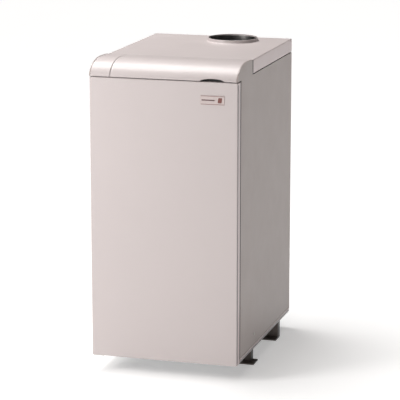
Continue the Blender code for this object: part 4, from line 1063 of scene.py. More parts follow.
def drain_cock():
    low, high = edges("drain_cock")
    x = middle("drain_cock").x
    stem = joint_place("drain_cock_turn")
    y = stem.y
    z = stem.z - 16.3
    profile = [(8.0, high.y)] + threaded(9.0, high.y, high.y - 5.0, 1.2, 0.6)
    profile += [(8.0, high.y - 12.0), (9.5, high.y - 12.5), (11.5, y + 10.0), (12.0, y + 7.0),
                (12.0, y - 7.0), (10.5, y - 9.0), (7.5, y - 10.0)]
    for start in (y - 10.5, y - 14.2, y - 17.9):
        profile += [(8.0, start), (9.0, start - 0.6), (7.4, start - 3.4)]
    profile += [(7.0, low.y), (5.6, low.y), (5.6, low.y + 14.0)]
    joins = [hexagon(20.5, high.y - 12.0, high.y - 5.0, (x, z), "y"),
             turned([(6.5, z), (6.5, z + 11.0), (5.0, z + 12.0), (4.8, stem.z - 0.3)], (stem.x, y, 0.0),
                    "z", 32)]
    piece("cock_body", turned(profile, (x, 0.0, z), "y", 40), brass, "brass", "drain_cock", joins=joins,
          smooth=32.0)
    low, high = edges("drain_cock_lever")
    outline = rounded([(low.x, low.y), (low.x + 14.0, low.y), (high.x - 8.0, low.y + 2.0),
                       (high.x, low.y + 3.0), (high.x, high.y - 3.0), (high.x - 8.0, high.y - 2.0),
                       (low.x + 14.0, high.y), (low.x, high.y)], 4.0)
    piece("cock_lever", prism(outline, "z", low.z, high.z), red_plastic, "red_plastic", "drain_cock_lever",
          body="drain_lever", bevel=0.9, segments=3)
    nut = hexagon(7.0, high.z - 0.5, high.z + 2.4, (stem.x, y), "z", 0.6)
    piece("cock_nut", nut, zinc, "zinc_steel", body="drain_lever", smooth=30.0)


def water_pipe(name, node):
    low, high = edges(node)
    centre = middle(node)
    profile = [(23.0, low.y), (23.0, low.y + 7.0), (22.4, low.y + 8.0), (21.0, low.y + 8.6),
               (21.0, high.y - 24.0)]
    profile += threaded(21.0, high.y - 24.0, high.y - 1.0, 2.3, 1.1)
    profile += [(19.4, high.y), (18.0, high.y), (18.0, low.y)]
    piece(name, turned(profile, (centre.x, 0.0, centre.z), "y", 72, ring=True), pipe_paint, "pipe_steel",
          node, smooth=32.0)


def carried(node, surface):
    """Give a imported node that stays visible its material."""
    item = frame["nodes"][node]
    item.data.materials.clear()
    item.data.materials.append(surface)


for number in range(1, 5):
    section(number)
for end in ("upper", "lower"):
    tie_rod("rod_" + end, "tie_rod_" + end)
drain_cock()
water_pipe("flow_stub", "flow_pipe")
water_pipe("return_stub", "return_pipe")
door_hinges()
flap_hinge("flap_knuckle_left", "flap_hinge_left")
flap_hinge("flap_knuckle_right", "flap_hinge_right")
magnet_catch()
door_lining()
carried("body_insulation", foil)
for node_name in ("base_tray", "chamber_shell", "draught_diverter", "flue_collector"):
    carried(node_name, galvanised)


# ---------------------------------------------------------------- burner and gas train

VENTURI_Z = middle("injector_1").z
MANIFOLD = middle("injector_1").y - 18.3
MANIFOLD_HALF = 12.5
VALVE = middle("gas_valve_knob")
BURNER_XS = [middle("burner_bar_%d" % number).x for number in (1, 2, 3)]
GAS_Z = 225.0
PILOT = Vector((42.0, -128.0, 0.0))
ELECTRODE_X = 60.0
LEAD_HOLE_Z = 150.0


def burner_bar(number, x):
    """A stainless bar: rounded crown with rows of flame slots, foot seams and a smooth air funnel."""
    name = "burner_bar_%d" % number
    low, high = edges(name)
    start = low.y + 41.0
    outline = [(x - 9.5, low.z), (x + 9.5, low.z), (x + 9.5, low.z + 2.5), (x + 8.0, low.z + 3.0)]
    outline += [(x + 8.6, low.z + 16.0)] + arc((x, low.z + 30.0), (13.0, 14.0), 0.0, 180.0, 24)
    outline += [(x - 8.6, low.z + 16.0), (x - 8.0, low.z + 3.0), (x - 9.5, low.z + 2.5)]
    flare = [(7.5 + 8.3 * (1.0 - step / 12.0) ** 2.2, low.y + 18.0 * step / 12.0) for step in range(13)]
    profile = [(9.6, start + 12.0)] + [(radius + 0.2, y) for radius, y in reversed(flare)]
    profile += [(radius - 1.3, y) for radius, y in flare] + [(6.2, start + 6.0)]
    slots = []
    for count in range(math.ceil((high.y - 22.0 - start) / 5.2)):
        y = start + 12.0 + 5.2 * count
        reach = 10.0 if count % 4 else 12.0
        for left, right in ((-reach, -1.5), (1.5, reach)):
            slots.append(box((x + left, y, low.z + 41.0), (x + right, y + 1.3, high.z + 2.0)))
    piece("bar_%d" % number, prism(outline, "y", start, high.y), stainless, "stainless", name,
          joins=[turned(profile, (x, 0.0, VENTURI_Z), "y", 64)], cuts=[blended(*slots)], smooth=40.0)


def injector(number, x):
    name = "injector_%d" % number
    low, high = edges(name)
    profile = [(4.0, low.y + 5.0), (3.6, low.y + 6.2), (2.6, high.y - 0.4), (2.2, high.y), (0.8, high.y),
               (0.8, high.y - 3.0)]
    piece("jet_%d" % number, hexagon(11.0, low.y, low.y + 5.2, (x, VENTURI_Z), "y", 0.7), brass, "brass",
          name, joins=[turned(profile, (x, 0.0, VENTURI_Z), "y", 32)], smooth=30.0)


def burner_frame():
    """The burner's folded front plate with raised collars, and the channel frame behind it."""
    low, high = edges("burner_frame")
    front = low.y + 57.5
    side_top = low.z + 18.0
    joins = [box((low.x, front - 4.5, z), (high.x, front, z + 2.0)) for z in (high.z - 2.0, low.z)]
    joins += [box((x, front - 1.0, low.z), (x + 2.0, high.y, side_top)) for x in (low.x, high.x - 2.0)]
    joins.append(box((low.x, high.y - 2.0, low.z), (high.x, high.y, side_top)))
    for side in (-1.0, 1.0):
        inner, outer = sorted((side * 141.0, side * 143.0))
        joins.append(box((inner, low.y, VENTURI_Z - 20.0), (outer, front, VENTURI_Z + 20.0)))
        joins += [screw_head(3.4, 1.8, (side * 142.8, MANIFOLD, z), "x", side)
                  for z in (VENTURI_Z + 7.0, VENTURI_Z - 7.0)]
    collar = [(16.2, front - 1.0), (19.0, front - 1.0), (18.4, front - 3.0), (17.4, front - 4.0),
              (16.2, front - 4.2)]
    joins += [turned(collar, (x, 0.0, VENTURI_Z), "y", 64, ring=True) for x in BURNER_XS]
    cuts = [rod(16.3, front - 10.0, front + 3.0, (x, VENTURI_Z), "y", 64) for x in BURNER_XS]
    cuts += [slab("y", (x - 14.0, front - 10.0, z - 2.5), (x + 14.0, front + 5.0, z + 2.5), 2.4)
             for x in (-127.0, -42.0, 127.0) for z in (VENTURI_Z - 20.0, VENTURI_Z, VENTURI_Z + 20.0)]
    cuts += [rod(3.6, front - 10.0, front + 5.0, hole, "y", 24)
             for hole in ((PILOT.x, high.z - 8.0), (ELECTRODE_X, LEAD_HOLE_Z))]
    piece("burner_carrier", box((low.x, front - 2.0, low.z), (high.x, front, high.z)), galvanised,
          "galvanised_sheet", "burner_frame", joins=joins, cuts=cuts, bevel=0.3, segments=1)


def manifold():
    """The square manifold tube with its welded ends, injector bosses and flanged riser to the valve."""
    low, high = edges("gas_manifold")
    half = MANIFOLD_HALF
    bottom = VENTURI_Z - half
    top = VENTURI_Z + half
    riser = [(0.0, VENTURI_Z), (14.0, VENTURI_Z + 11.5), (12.6, VENTURI_Z + 13.2), (11.0, VENTURI_Z + 15.5),
             (11.0, high.z - 6.5), (12.0, high.z - 5.0), (20.0, high.z - 5.0), (20.0, high.z)]
    joins = [turned(riser, (VALVE.x, MANIFOLD, 0.0), "z", 64)]
    joins += [screw_head(2.6, 1.6, (VALVE.x + x, MANIFOLD, high.z - 5.0), "z", -1.0) for x in (-14.0, 14.0)]
    joins += [hexagon(13.0, MANIFOLD - half - 3.5, MANIFOLD - half + 0.5, (x, VENTURI_Z), "y", 0.8)
              for x in BURNER_XS]
    for x, inward in ((low.x, 4.0), (high.x, -4.0)):
        start, end = sorted((x + inward, x + inward * 0.5))
        joins.append(slab("x", (start, MANIFOLD - half - 0.4, bottom - 0.4),
                          (end, MANIFOLD + half - 0.2, top + 0.4), 3.4))
    piece("manifold_tube", slab("x", (low.x, MANIFOLD - half, bottom), (high.x, MANIFOLD + half, top), 3.2),
          pipe_paint, "pipe_steel", "gas_manifold", joins=joins, bevel=0.5)


def valve_body():
    """The gas control: cast body, cover with screws, pressure ports, hexagon inlet and flanged outlet."""
    low, high = edges("gas_valve")
    front = low.y
    rear = MANIFOLD + 32.0
    left, right = VALVE.x - 36.0, VALVE.x + 36.0
    joins = [box((left + 4.0, front, 199.0), (right - 4.0, front + 6.0, 249.0)),
             box((left + 1.5, front + 6.0, 249.0), (right - 1.5, rear - 3.0, 256.0)),
             turned([(20.0, 186.3), (20.0, 191.5), (17.0, 193.0), (16.0, 200.0)], (VALVE.x, MANIFOLD, 0.0),
                    "z", 64), hexagon(29.4, VALVE.x + 42.0, high.x, (MANIFOLD, GAS_Z), "x", 1.6),
             rod(13.5, VALVE.x + 30.0, VALVE.x + 44.0, (MANIFOLD, GAS_Z), "x", 48),
             turned([(9.0, 250.0), (9.0, 262.0), (7.6, 263.0), (7.6, 267.4), (7.0, high.z)],
                    (VALVE.x + 22.0, MANIFOLD - 12.0, 0.0), "z", 48),
             rod(4.0, rear - 3.0, high.y, (VALVE.x + 12.0, 205.0), "y", 24)]
    joins += [screw_head(3.6, 2.0, (x, front + 0.1, z), "y", -1.0)
              for x in (left + 9.0, right - 9.0) for z in (204.0, 244.0)]
    joins += [hexagon(8.0, front - 3.0, front + 0.5, (x, 204.0), "y", 0.6)
              for x in (left + 20.0, right - 20.0)]
    joins += [box((left - 1.5, front + 16.0, z), (left + 1.0, rear - 10.0, z + 3.0))
              for z in (200.0, 210.0, 220.0, 230.0, 240.0)]
    piece("valve_body", box((left, front + 3.0, 196.0), (right, rear, 252.0)), cast_alloy, "cast_alloy",
          "gas_valve", joins=joins, bevel=1.2, segments=3)


def valve_coil():
    low, high = edges("valve_coil")
    cuts = []
    for step in range(6):
        z = low.z + 7.0 + 5.0 * step
        for x_low, x_high, y_high in ((low.x - 5.0, low.x + 0.8, high.y + 5.0),
                                      (low.x - 5.0, high.x + 5.0, low.y + 0.8),
                                      (high.x - 0.8, high.x + 5.0, high.y + 5.0)):
            cuts.append(box((x_low, low.y - 5.0, z), (x_high, y_high, z + 1.6)))
    piece("coil_body", slab("z", low, (high.x, high.y, low.z + 39.7), 5.0), black_plastic, "black_plastic",
          "valve_coil", joins=[box((low.x + 8.0, low.y + 8.0, low.z + 30.0),
                                   (high.x - 8.0, high.y - 8.0, high.z))], cuts=cuts, bevel=0.8)
    screw = screw_head(3.0, 1.8, ((low.x + high.x) / 2.0, (low.y + high.y) / 2.0, high.z + 0.05), "z", 1.0)
    piece("coil_screw", screw, zinc, "zinc_steel", smooth=30.0)


def valve_knob():
    low, high = edges("gas_valve_knob")
    profile = [(10.6, low.y), (11.6, low.y + 0.8), (12.4, low.y + 2.4), (12.9, high.y - 1.5), (12.6, high.y)]
    cuts = [box((VALVE.x + x - 8.0, low.y - 5.0, low.z - 5.0), (VALVE.x + x + 8.0, low.y + 7.0, high.z + 5.0))
            for x in (-12.0, 12.0)]
    piece("valve_grip", turned(profile, (VALVE.x, 0.0, VALVE.z), "y", 96, flutes=24, depth=0.6),
          black_plastic, "black_plastic", "gas_valve_knob", body="valve_knob", cuts=cuts, bevel=0.4,
          smooth=40.0)
    mark = box((VALVE.x - 0.6, low.y - 0.12, VALVE.z + 2.0), (VALVE.x + 0.6, low.y + 0.5, high.z - 3.5))
    piece("valve_grip_mark", mark, print_white, "black_plastic", body="valve_knob", bevel=0.1)


def gas_pipes():
    low, high = edges("gas_inlet_pipe")
    x = high.x - 10.5
    wire("gas_pipe", [(low.x, MANIFOLD, GAS_Z), (x, MANIFOLD, GAS_Z), (x, high.y, GAS_Z)], 10.4, pipe_paint,
         "pipe_steel", "gas_inlet_pipe", bend=24.0, resolution=8)
    collar = turned([(15.0, 16.5), (14.4, 19.0), (12.0, 20.0), (12.0, 23.0)], (low.x, MANIFOLD, GAS_Z), "x",
                    48)
    piece("gas_union", hexagon(33.0, low.x + 2.0, low.x + 17.0, (MANIFOLD, GAS_Z), "x", 1.8), brass,
          "pipe_steel", joins=[collar], smooth=30.0)
    thread = threaded(10.95, high.y - 26.0, high.y - 0.2, 1.8, 0.5)
    piece("gas_thread", turned(thread, (x, 0.0, GAS_Z), "y"), zinc, "pipe_steel", smooth=30.0)


def pilot():
    """The pilot burner and its electrode, with the gas tube and the ignition lead that feed them."""
    low, high = edges("pilot_burner")
    x, y = PILOT.x, PILOT.y
    stem = turned([(3.6, low.z), (4.2, low.z + 0.8), (4.2, low.z + 6.0), (5.0, low.z + 7.0),
                   (5.0, high.z - 6.0), (4.4, high.z - 5.0), (4.8, high.z - 1.0), (4.0, high.z),
                   (2.6, high.z), (2.6, high.z - 4.0)], PILOT, "z")
    deflector = prism(rounded([(36.0, y + 2.5), (48.0, y + 2.5), (47.0, high.y), (37.0, high.y)], 1.5), "z",
                      188.4, 190.2)
    piece("pilot_head", slab("z", (low.x, y - 8.0, 176.0), (high.x, y + 8.0, 178.4), 3.0), stainless,
          "pipe_steel", "pilot_burner", joins=[stem, deflector,
                                               hexagon(10.5, low.z + 1.0, low.z + 5.6, (x, y), "z", 0.6),
                                               screw_head(2.2, 1.2, (51.0, y, 178.3), "z", 1.0)],
          bevel=0.25, smooth=32.0)
    low, high = edges("ignition_electrode")
    top = high.z - low.z
    place = (ELECTRODE_X, y, low.z)
    body = [(2.0, 0.0), (2.0, 4.5), (3.0, 5.0), (3.9, 6.2), (3.9, 10.0), (3.5, 10.5), (3.9, 11.0),
            (3.9, 25.0), (3.4, 26.6), (1.6, 27.2), (1.1, 27.4), (1.1, top - 0.6), (0.6, top)]
    piece("electrode", turned(body, place, "z"), ceramic, "ceramic", "ignition_electrode")
    tip = [(1.25, 27.3), (1.25, top - 0.4), (0.7, top + 0.1)]
    piece("electrode_tip", turned(tip, place, "z", 24), stainless, "ceramic")
    wire("pilot_tube", [(x, -164.5, 205.0), (x, -160.2, 205.0), (x, -160.2, 165.0), (x, y, 165.0),
                        (x, y, 169.0)], 1.7, copper, "pipe_steel", bend=3.6, resolution=6)
    x = ELECTRODE_X
    wire("ignition_lead", [(x, y, 160.5), (x, y, LEAD_HOLE_Z), (x, -167.0, LEAD_HOLE_Z), (x, -167.0, 183.0),
                           (106.0, -169.0, 200.0), (104.0, -172.0, 690.0), (112.0, -205.0, 752.0)], 2.1,
         cable_sleeve, "black_plastic", bend=9.0)
    grommet = [(2.2, -158.6), (4.6, -158.6), (5.0, -157.4), (4.6, -156.2), (3.5, -156.1), (3.5, -153.9),
               (4.5, -153.7), (4.2, -152.8), (2.2, -152.8)]
    piece("lead_grommet", turned(grommet, (x, 0.0, LEAD_HOLE_Z), "y", 32, ring=True), black_plastic,
          "black_plastic")


def front_plate():
    """The chamber's cast front plate with ribs, bolts and the sight glass."""
    low, high = edges("chamber_front_plate")
    centre = middle("sight_glass")
    place = (centre.x, low.y, centre.z)
    joins = [box((x - 1.6, low.y - 2.2, low.z + 10.0), (x + 1.6, high.y - 1.0, high.z - 10.0))
             for x in (-150.0, -120.0, 0.0, 30.0, 60.0, 90.0, 120.0, 150.0)]
    joins += [box((low.x, low.y - 1.0, z), (high.x, high.y - 1.0, z + 5.0)) for z in (low.z, high.z - 5.0)]
    rim = [(13.8, 1.0), (24.0, 1.0), (23.0, -0.6), (20.0, -0.8), (20.0, -0.1), (13.8, -0.1)]
    joins.append(turned(rim, place, "y", 64, ring=True))
    joins += [hexagon(9.0, low.y - 4.0, low.y + 1.0, (x, z), "y", 0.7)
              for x in (low.x + 8.0, -90.0, 45.0, high.x - 8.0) for z in (low.z + 9.0, high.z - 9.0)]
    piece("chamber_door", box((low.x, low.y + 0.6, low.z), high), cast_alloy, "cast_alloy",
          "chamber_front_plate", joins=joins,
          cuts=[bored(14.0, "chamber_front_plate", (centre.x, centre.z))], bevel=0.4)
    low, high = edges("sight_glass")
    place = (centre.x, 0.0, centre.z)
    ring = [(11.0, high.y - 3.8), (18.6, high.y - 3.8), (18.6, low.y + 1.2), (17.6, low.y + 0.2),
            (15.0, low.y), (12.4, low.y + 0.4), (11.0, low.y + 2.0)]
    heads = [screw_head(1.9, 1.0,
                        (centre.x + 15.0 * math.cos(angle), low.y + 0.1, centre.z + 15.0 * math.sin(angle)),
                        "y", -1.0) for angle in (0.5, 2.6, 4.7)]
    piece("sight_ring", turned(ring, place, "y", 72, ring=True), polished, "sight_glass", "sight_glass",
          joins=heads, bevel=0.15)
    piece("sight_pane", rod(11.6, low.y + 2.6, high.y - 1.4, (centre.x, centre.z), "y", 64), furnace_glass,
          "sight_glass")


def cleaning_hatch():
    low, high = edges("cleaning_cover")
    centre_z = middle("cleaning_cover").z
    joins = [slab("y", (low.x + 40.0, high.y - 3.6, low.z + 9.0),
                  (high.x - 40.0, high.y - 1.0, high.z - 9.0), 6.0)]
    for x in (-110.0, 110.0):
        centre = (x, centre_z)
        joins.append(rod(9.5, high.y - 3.4, high.y - 1.8, centre, "y", 40))
        joins.append(hexagon(13.4, high.y - 8.6, high.y - 3.2, centre, "y", 0.9))
        stud = [(3.2, low.y + 0.4)] + threaded(4.0, low.y + 0.6, high.y - 8.0, 1.2, 0.5)
        joins.append(turned(stud, on_axis(centre, "y"), "y", 24))
    dish = slab("y", (low.x + 44.0, high.y - 9.0, low.z + 13.0),
                (high.x - 44.0, high.y - 1.9, high.z - 13.0), 4.0)
    piece("hatch", slab("y", (low.x, high.y - 2.0, low.z), high, 6.0), galvanised, "galvanised_sheet",
          "cleaning_cover", joins=joins, cuts=[dish], bevel=0.35)


for number, x in enumerate(BURNER_XS, 1):
    burner_bar(number, x)
    injector(number, x)
burner_frame()
manifold()
valve_body()
valve_coil()
valve_knob()
gas_pipes()
pilot()
front_plate()
cleaning_hatch()


# ---------------------------------------------------------------- controls

PANEL_TURN = Matrix.Rotation(PANEL_SLOPE, 3, "X")
PANEL_ORIGIN = Vector((0.0, -300.0, 843.0))
ROW = 68.0
GAUGE_X = middle("gauge_case").x
BUTTON_X = middle("reset_button").x
KNOB_X = joint_place("thermostat_turn").x
SWITCH_X = joint_place("mains_switch_rock").x
PIVOT = 7.0
DIAL = -3.05
INK = -2.9
SCALES = ((1.0, 145.0, 35.0, "upper", ("0", "30", "60", "90", "120")),
          (-1.0, 215.0, 325.0, "lower", ("0", "1", "2", "3", "4")))


def on_panel(shape):
    """Lay a shape drawn in the panel's own coordinates on the sloping panel."""
    return moved(shape, PANEL_ORIGIN, PANEL_TURN)


def control(name, shape, surface, slot, *nodes, cuts=(), joins=(), **settings):
    """A piece whose shapes are all drawn in the panel's own coordinates."""
    return piece(name, on_panel(shape), surface, slot, *nodes, cuts=[on_panel(cut) for cut in cuts],
                 joins=[on_panel(join) for join in joins], **settings)


def flat_ring(centre, outer, inner, low, high, first, last, steps):
    """A part of a flat ring, as a thin printed mark."""
    points = arc(centre, (outer, outer), first, last, steps)
    points += list(reversed(arc(centre, (inner, inner), first, last, steps)))
    return prism(points, "z", low, high)


def tick(centre, angle, start, end, width, low, high):
    turn = math.radians(angle)
    outwards = Vector((math.cos(turn), math.sin(turn)))
    across = Vector((-outwards.y, outwards.x)) * (width / 2.0)
    base = Vector(centre)
    corners = [base + outwards * start - across, base + outwards * end - across,
               base + outwards * end + across, base + outwards * start + across]
    return prism([tuple(corner) for corner in corners], "z", low, high)


def figure(name, text, centre, radius, angle, size, surface, lift=0.1):
    """A printed number, lying on the panel at an angle and a distance from a centre."""
    letters = bpy.data.curves.new(name, "FONT")
    letters.body = text
    letters.size = size * MM
    letters.extrude = 0.06 * MM
    letters.align_x = "CENTER"
    letters.align_y = "CENTER"
    letters.resolution_u = 3
    letters.materials.append(surface)
    item = linked(name, letters)
    turn = math.radians(angle)
    place = (centre[0] + radius * math.cos(turn), centre[1] + radius * math.sin(turn), lift)
    item.location = (PANEL_ORIGIN + PANEL_TURN @ Vector(place)) * MM
    item.rotation_euler = (PANEL_SLOPE, 0.0, 0.0)
    handed_over(item, ())


def fascia():
    low, high = edges("control_panel")
    cuts = [rod(radius, -THROUGH, THROUGH, (x, ROW), "z", segments)
            for radius, x, segments in ((28.0, GAUGE_X, 96), (7.0, BUTTON_X, 64), (5.0, KNOB_X, 64))]
    cuts.append(box((SWITCH_X - 10.5, ROW - 14.0, -THROUGH), (SWITCH_X + 10.5, ROW + 14.0, THROUGH)))
    cuts += [slab("z", (low.x + 12.0, y, -0.5), (high.x - 12.0, y + 1.2, 5.0), 0.5) for y in (112.0, 22.0)]
    control("fascia_plate", slab("z", (low.x, 0.2, -2.0), (high.x, 133.8, 0.0), 5.0), panel_plastic,
            "panel_plastic", "control_panel", cuts=cuts, bevel=0.35)
    corners = [(x, y, 0.05) for y in (9.0, 124.0) for x in (low.x + 9.0, high.x - 9.0)]
    for number, corner in enumerate(corners, 1):
        control("fascia_screw_%d" % number, screw_head(3.2, 1.3, corner, "z", 1.0), zinc, "zinc_steel",
                smooth=30.0)


def dial():
    """The gauge: case, white dial with two printed scales, two pointers and a domed glass."""
    centre = (GAUGE_X, ROW, 0.0)
    case = [(22.0, -18.0), (25.5, -16.5), (27.0, -14.0), (27.0, GAP), (29.6, GAP), (30.0, 0.8), (30.0, 1.8),
            (29.2, 3.2), (28.0, 3.9), (27.2, 4.0), (26.5, 3.6), (26.1, 2.4), (26.0, -3.4)]
    control("gauge_bezel", turned([(0.0, -18.0)] + case, centre, "z", 96), black_plastic, "zinc_steel",
            "gauge_case", smooth=40.0)
    control("gauge_dial", rod(25.9, -3.35, -3.0, centre[:2], "z", 96), dial_white, "panel_plastic")
    marks = []
    reds = []
    for sign, first, last, end, texts in SCALES:
        pivot = (GAUGE_X, ROW + sign * PIVOT)
        marks.append(flat_ring(pivot, 17.3, 17.0, DIAL, INK, *sorted((first, last)), 40))
        for step in range(25):
            start, width = (15.8, 0.22) if step % 6 else (14.6, 0.45)
            marks.append(tick(pivot, first + (last - first) * step / 24.0, start, 17.0, width, DIAL, INK))
        start = first + (last - first) * 0.79
        reds.append(flat_ring(pivot, 18.2, 17.4, DIAL, INK + 0.02, *sorted((start, last)), 16))
    marks.append(box((GAUGE_X - 21.0, ROW - 0.1, DIAL), (GAUGE_X + 21.0, ROW + 0.1, INK)))
    control("dial_marks", blended(*marks), print_black, "panel_plastic")
    control("dial_limits", blended(*reds), red_plastic, "panel_plastic")
    for sign, first, last, end, texts in SCALES:
        for step, text in enumerate(texts):
            figure("dial_figure_%s_%d" % (end, step), text, (GAUGE_X, ROW + sign * PIVOT), 12.3,
                   first + (last - first) * step / 4.0, 2.7, print_black, INK - 0.05)
    for name, scale in (("temperature", SCALES[0]), ("pressure", SCALES[1])):
        outline = arc((0.0, 0.0), (2.2, 2.2), 18.0, 342.0, 28) + [(13.0, -0.42), (16.0, 0.0), (13.0, 0.42)]
        place = (GAUGE_X, ROW + scale[0] * PIVOT, 0.0)
        hand = moved(prism(outline, "z", -2.4, -1.9), place, Matrix.Rotation(math.radians(scale[1]), 3, "Z"))
        hub = turned([(2.1, -2.0), (2.1, -1.6), (1.6, -1.4)], place, segments=32)
        control(name + "_hand", hand, needle_black_and_painted_shade, "needle", name + "_pointer", body=name + "_needle",
                joins=[hub], smooth=30.0)
    glass = [(0.0, 1.6), (25.8, 1.4), (26.05, 1.4), (26.05, 2.3), (25.8, 2.4), (14.0, 2.75), (0.0, 2.9)]
    control("gauge_glass", turned(glass, centre, "z", 96), dial_glass, "sight_glass", smooth=50.0)


def button():
    centre = (BUTTON_X, ROW, 0.0)
    cap = [(6.0, -6.0), (6.0, 3.2), (5.7, 4.0), (4.9, 4.4), (3.0, 4.1), (0.0, 3.9)]
    control("reset_cap", turned(cap, centre, "z", 64), red_plastic, "red_plastic", "reset_button",
            body="button", smooth=40.0)
    ring = [(6.5, -3.0), (6.9, -3.0), (6.9, GAP - 0.2), (10.5, GAP - 0.2), (10.5, 0.9), (9.6, 2.2),
            (8.4, 2.6), (7.0, 2.4), (6.5, 1.8)]
    control("reset_ring", turned(ring, centre, "z", 64, ring=True), black_plastic, "black_plastic",
            smooth=40.0)


def knob():
    """The thermostat knob: a skirt under a fluted grip, with a pointer and a printed scale round it."""
    flat = (KNOB_X, ROW)
    centre = (KNOB_X, ROW, 0.0)
    skirt = [(3.5, -8.0), (3.5, 0.4), (18.6, 0.4), (19.0, 0.9), (18.9, 2.2), (17.6, 3.4), (15.2, 4.4)]
    grip = [(14.9, 3.6), (14.4, 9.0), (14.0, 13.8), (13.2, 15.3), (12.0, 16.0)]
    dish = [(8.6, 15.4), (9.4, 16.4)]
    control("knob_grip", turned(skirt, centre, "z", 96), black_plastic, "black_plastic", "thermostat_knob",
            body="thermostat", joins=[turned(grip, centre, "z", 144, flutes=18, depth=1.3)],
            cuts=[turned(dish, centre, "z", 64)], bevel=0.25, smooth=38.0)
    pointer = [tick(flat, 225.0, 9.6, 12.6, 1.3, 15.6, 16.12), tick(flat, 225.0, 15.4, 18.4, 1.1, 2.0, 4.2)]
    control("knob_pointer", blended(*pointer), print_white, "black_plastic", body="thermostat")
    marks = [flat_ring(flat, 21.5, 21.1, -0.05, 0.08, -45.0, 225.0, 90)]
    for step in range(19):
        end, width = (23.0, 0.35) if step % 3 else (24.4, 0.6)
        marks.append(tick(flat, 225.0 - 15.0 * step, 21.4, end, width, -0.05, 0.08))
    control("knob_scale", blended(*marks), print_white, "panel_plastic")
    for step in range(7):
        figure("knob_figure_%d" % step, "%d" % (30 + 10 * step), flat, 28.0, 225.0 - 45.0 * step, 5.0,
               print_white)


def rocker():
    """The mains switch: a hollowed rocker with two marks, in a bezel with a sleeve."""
    outline = [(-10.5, -4.0), (10.5, -4.0), (10.5, 2.2)] + arc((0.0, 9.5), (8.6, 8.5), -75.0, -105.0, 8)
    cap = moved(prism(outline + [(-10.5, 5.4)], "x", -8.9, 8.9), (SWITCH_X, ROW, 0.0))
    control("rocker_cap", cap, black_plastic, "black_plastic", "mains_switch", body="switch", bevel=0.7,
            segments=3)
    stroke = box((SWITCH_X - 0.45, ROW + 4.6, 1.0), (SWITCH_X + 0.45, ROW + 8.6, 2.02))
    circle = flat_ring((SWITCH_X, ROW - 6.4), 2.0, 1.3, 3.2, 3.55, 0.0, 359.9, 40)
    for mark, pivot, angle in ((circle, (SWITCH_X, ROW - 6.4, 3.4), -22.0),
                               (stroke, (SWITCH_X, ROW + 6.6, 1.8), 7.0)):
        bmesh.ops.rotate(mark, cent=pivot, matrix=Matrix.Rotation(math.radians(angle), 3, "X"),
                         verts=mark.verts)
    control("rocker_marks", blended(stroke, circle), print_white, "black_plastic", body="switch")
    centre = Vector((SWITCH_X, ROW, 0.0))
    bezel = slab("z", centre - Vector((13.0, 17.0, 0.0)), centre + Vector((13.0, 17.0, 1.8)), 2.5)
    sleeve = box(centre - Vector((10.4, 13.9, 6.0)), centre + Vector((10.4, 13.9, 0.5)))
    well = box(centre - Vector((9.7, 12.6, 9.0)), centre + Vector((9.7, 12.6, 9.0)))
    control("rocker_bezel", bezel, black_plastic, "black_plastic", joins=[sleeve], cuts=[well], bevel=0.6,
            segments=3)


def box_and_wires():
    """The control box behind the panel, its terminal strip and the cables that leave it."""
    low, high = edges("control_box")
    ribs = 12
    joins = []
    for step in range(ribs):
        x = low.x + 18.0 + (high.x - low.x - 36.0) * step / (ribs - 1)
        joins.append(box((x - 1.2, low.y - 0.9, low.z + 8.0), (x + 1.2, low.y + 1.0, high.z - 10.0)))
    joins.append(box((low.x - 0.2, low.y - 1.2, high.z - 5.0), (high.x + 0.2, low.y + 1.0, high.z - 0.3)))
    cuts = [box((low.x + 2.0, low.y + 2.0, low.z + 2.0), (high.x - 2.0, high.y - 2.0, high.z + 5.0))]
    cuts += [rod(4.0, low.z - 5.0, low.z + 5.0, hole, "z")
             for hole in ((112.0, -205.0), (40.0, -215.0), (-60.0, -200.0))]
    piece("wiring_box", box(low, high), box_plastic, "box_plastic", "control_box", cuts=cuts, joins=joins,
          bevel=0.7)
    cuts = [rod(2.6, low.z + 10.0, low.z + 20.0, (x, -246.0), "z", 24) for x in range(-12, 90, 12)]
    cuts += [box((x - 0.8, -260.0, low.z + 11.0), (x + 0.8, -220.0, low.z + 20.0))
             for x in range(-18, 96, 12)]
    piece("terminal_strip", box((-20.0, -252.0, low.z + 2.0), (90.0, -228.0, low.z + 16.0)), print_white,
          "box_plastic", cuts=cuts, bevel=0.4)
    for name, surface, x, turn in (("live_wire", cable_brown, 0.0, -1.0),
                                   ("neutral_wire", cable_blue, 12.0, 1.0)):
        end = SWITCH_X + 4.0 * turn
        wire(name, [(x, -236.0, low.z + 13.0), (x, -205.0, low.z + 20.0),
                    (end, -205.0 + 6.0 * turn, low.z + 30.0), (end, -232.0, 838.0)], 1.3, surface,
             "black_plastic", bend=10.0)
    wire("valve_cable", [(16.0, -200.0, 300.0), (16.0, -200.0, 330.0), (24.0, -182.0, 380.0),
                         (28.0, -182.0, 690.0), (40.0, -215.0, 752.0)], 3.4, black_plastic, "black_plastic",
         bend=14.0)
    wire("sensor_line", [(-60.0, -200.0, 752.0), (-60.0, -176.0, 700.0), (-60.0, -160.0, 655.0),
                         (-60.0, -146.0, 622.0)], 1.5, copper, "pipe_steel", bend=12.0)


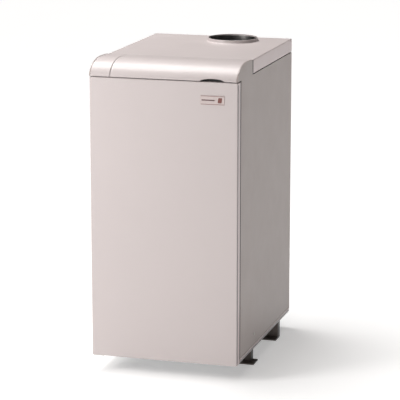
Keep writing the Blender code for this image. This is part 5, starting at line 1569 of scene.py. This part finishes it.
def gland():
    low, high = edges("cable_gland")
    centre = middle("cable_gland")
    profile = [(9.6, low.y + 5.5), (9.6, low.y + 13.0), (9.0, low.y + 14.6), (7.4, high.y - 1.0),
               (6.4, high.y), (4.0, high.y), (4.0, low.y + 6.5)]
    piece("gland_body", turned(profile, (centre.x, 0.0, centre.z), "y", 120, flutes=20, depth=0.7),
          black_plastic, "black_plastic", "cable_gland",
          joins=[hexagon(22.0, low.y, low.y + 6.0, (centre.x, centre.z), "y", 0.9)], smooth=38.0)


def rear_sheet():
    """The rear panel: pressed beads, collars round the pipes, a flue hatch opening and rows of vents."""
    low, high = edges("rear_panel")
    before = low.y - THROUGH
    behind = high.y + THROUGH
    joins = [slab("y", (low.x + 40.0, high.y - 0.5, z - 5.0), (high.x - 40.0, high.y + 1.6, z + 5.0), 4.9)
             for z in (150.0, 478.0, 560.0)]
    cuts = [box((-45.0, before, 755.0), (155.0, behind, 815.0))]
    collar = [(24.0, high.y - 0.5), (28.5, high.y - 0.5), (27.6, high.y + 1.2), (25.6, high.y + 1.8),
              (24.0, high.y + 1.4)]
    for name in ("flow_pipe", "return_pipe"):
        pipe = middle(name)
        cuts.append(bored(24.0, "rear_panel", (pipe.x, pipe.z), segments=72))
        joins.append(turned(collar, (pipe.x, 0.0, pipe.z), "y", 72, ring=True))
    cuts.append(bored(13.0, "rear_panel", (edges("gas_inlet_pipe")[1].x - 10.5, GAS_Z)))
    for row in range(4):
        for column in range(9):
            x = -60.0 + 15.0 * column
            z = 655.0 + 9.0 * row
            cuts.append(slab("y", (x - 5.0, before, z - 1.6), (x + 5.0, behind, z + 1.6), 1.5))
    piece("rear_sheet", box(low, high), galvanised, "galvanised_sheet", "rear_panel", joins=joins, cuts=cuts,
          bevel=0.25, segments=1)
    places = [(x, high.y + 0.05, z) for x in (low.x + 7.0, high.x - 7.0) for z in (70.0, 320.0, 580.0, 825.0)]
    for number, place in enumerate(places, 1):
        piece("rear_screw_%d" % number, screw_head(4.2, 2.0, place, "y", 1.0), zinc, "zinc_steel",
              smooth=30.0)


fascia()
dial()
button()
knob()
rocker()
box_and_wires()
gland()
rear_sheet()
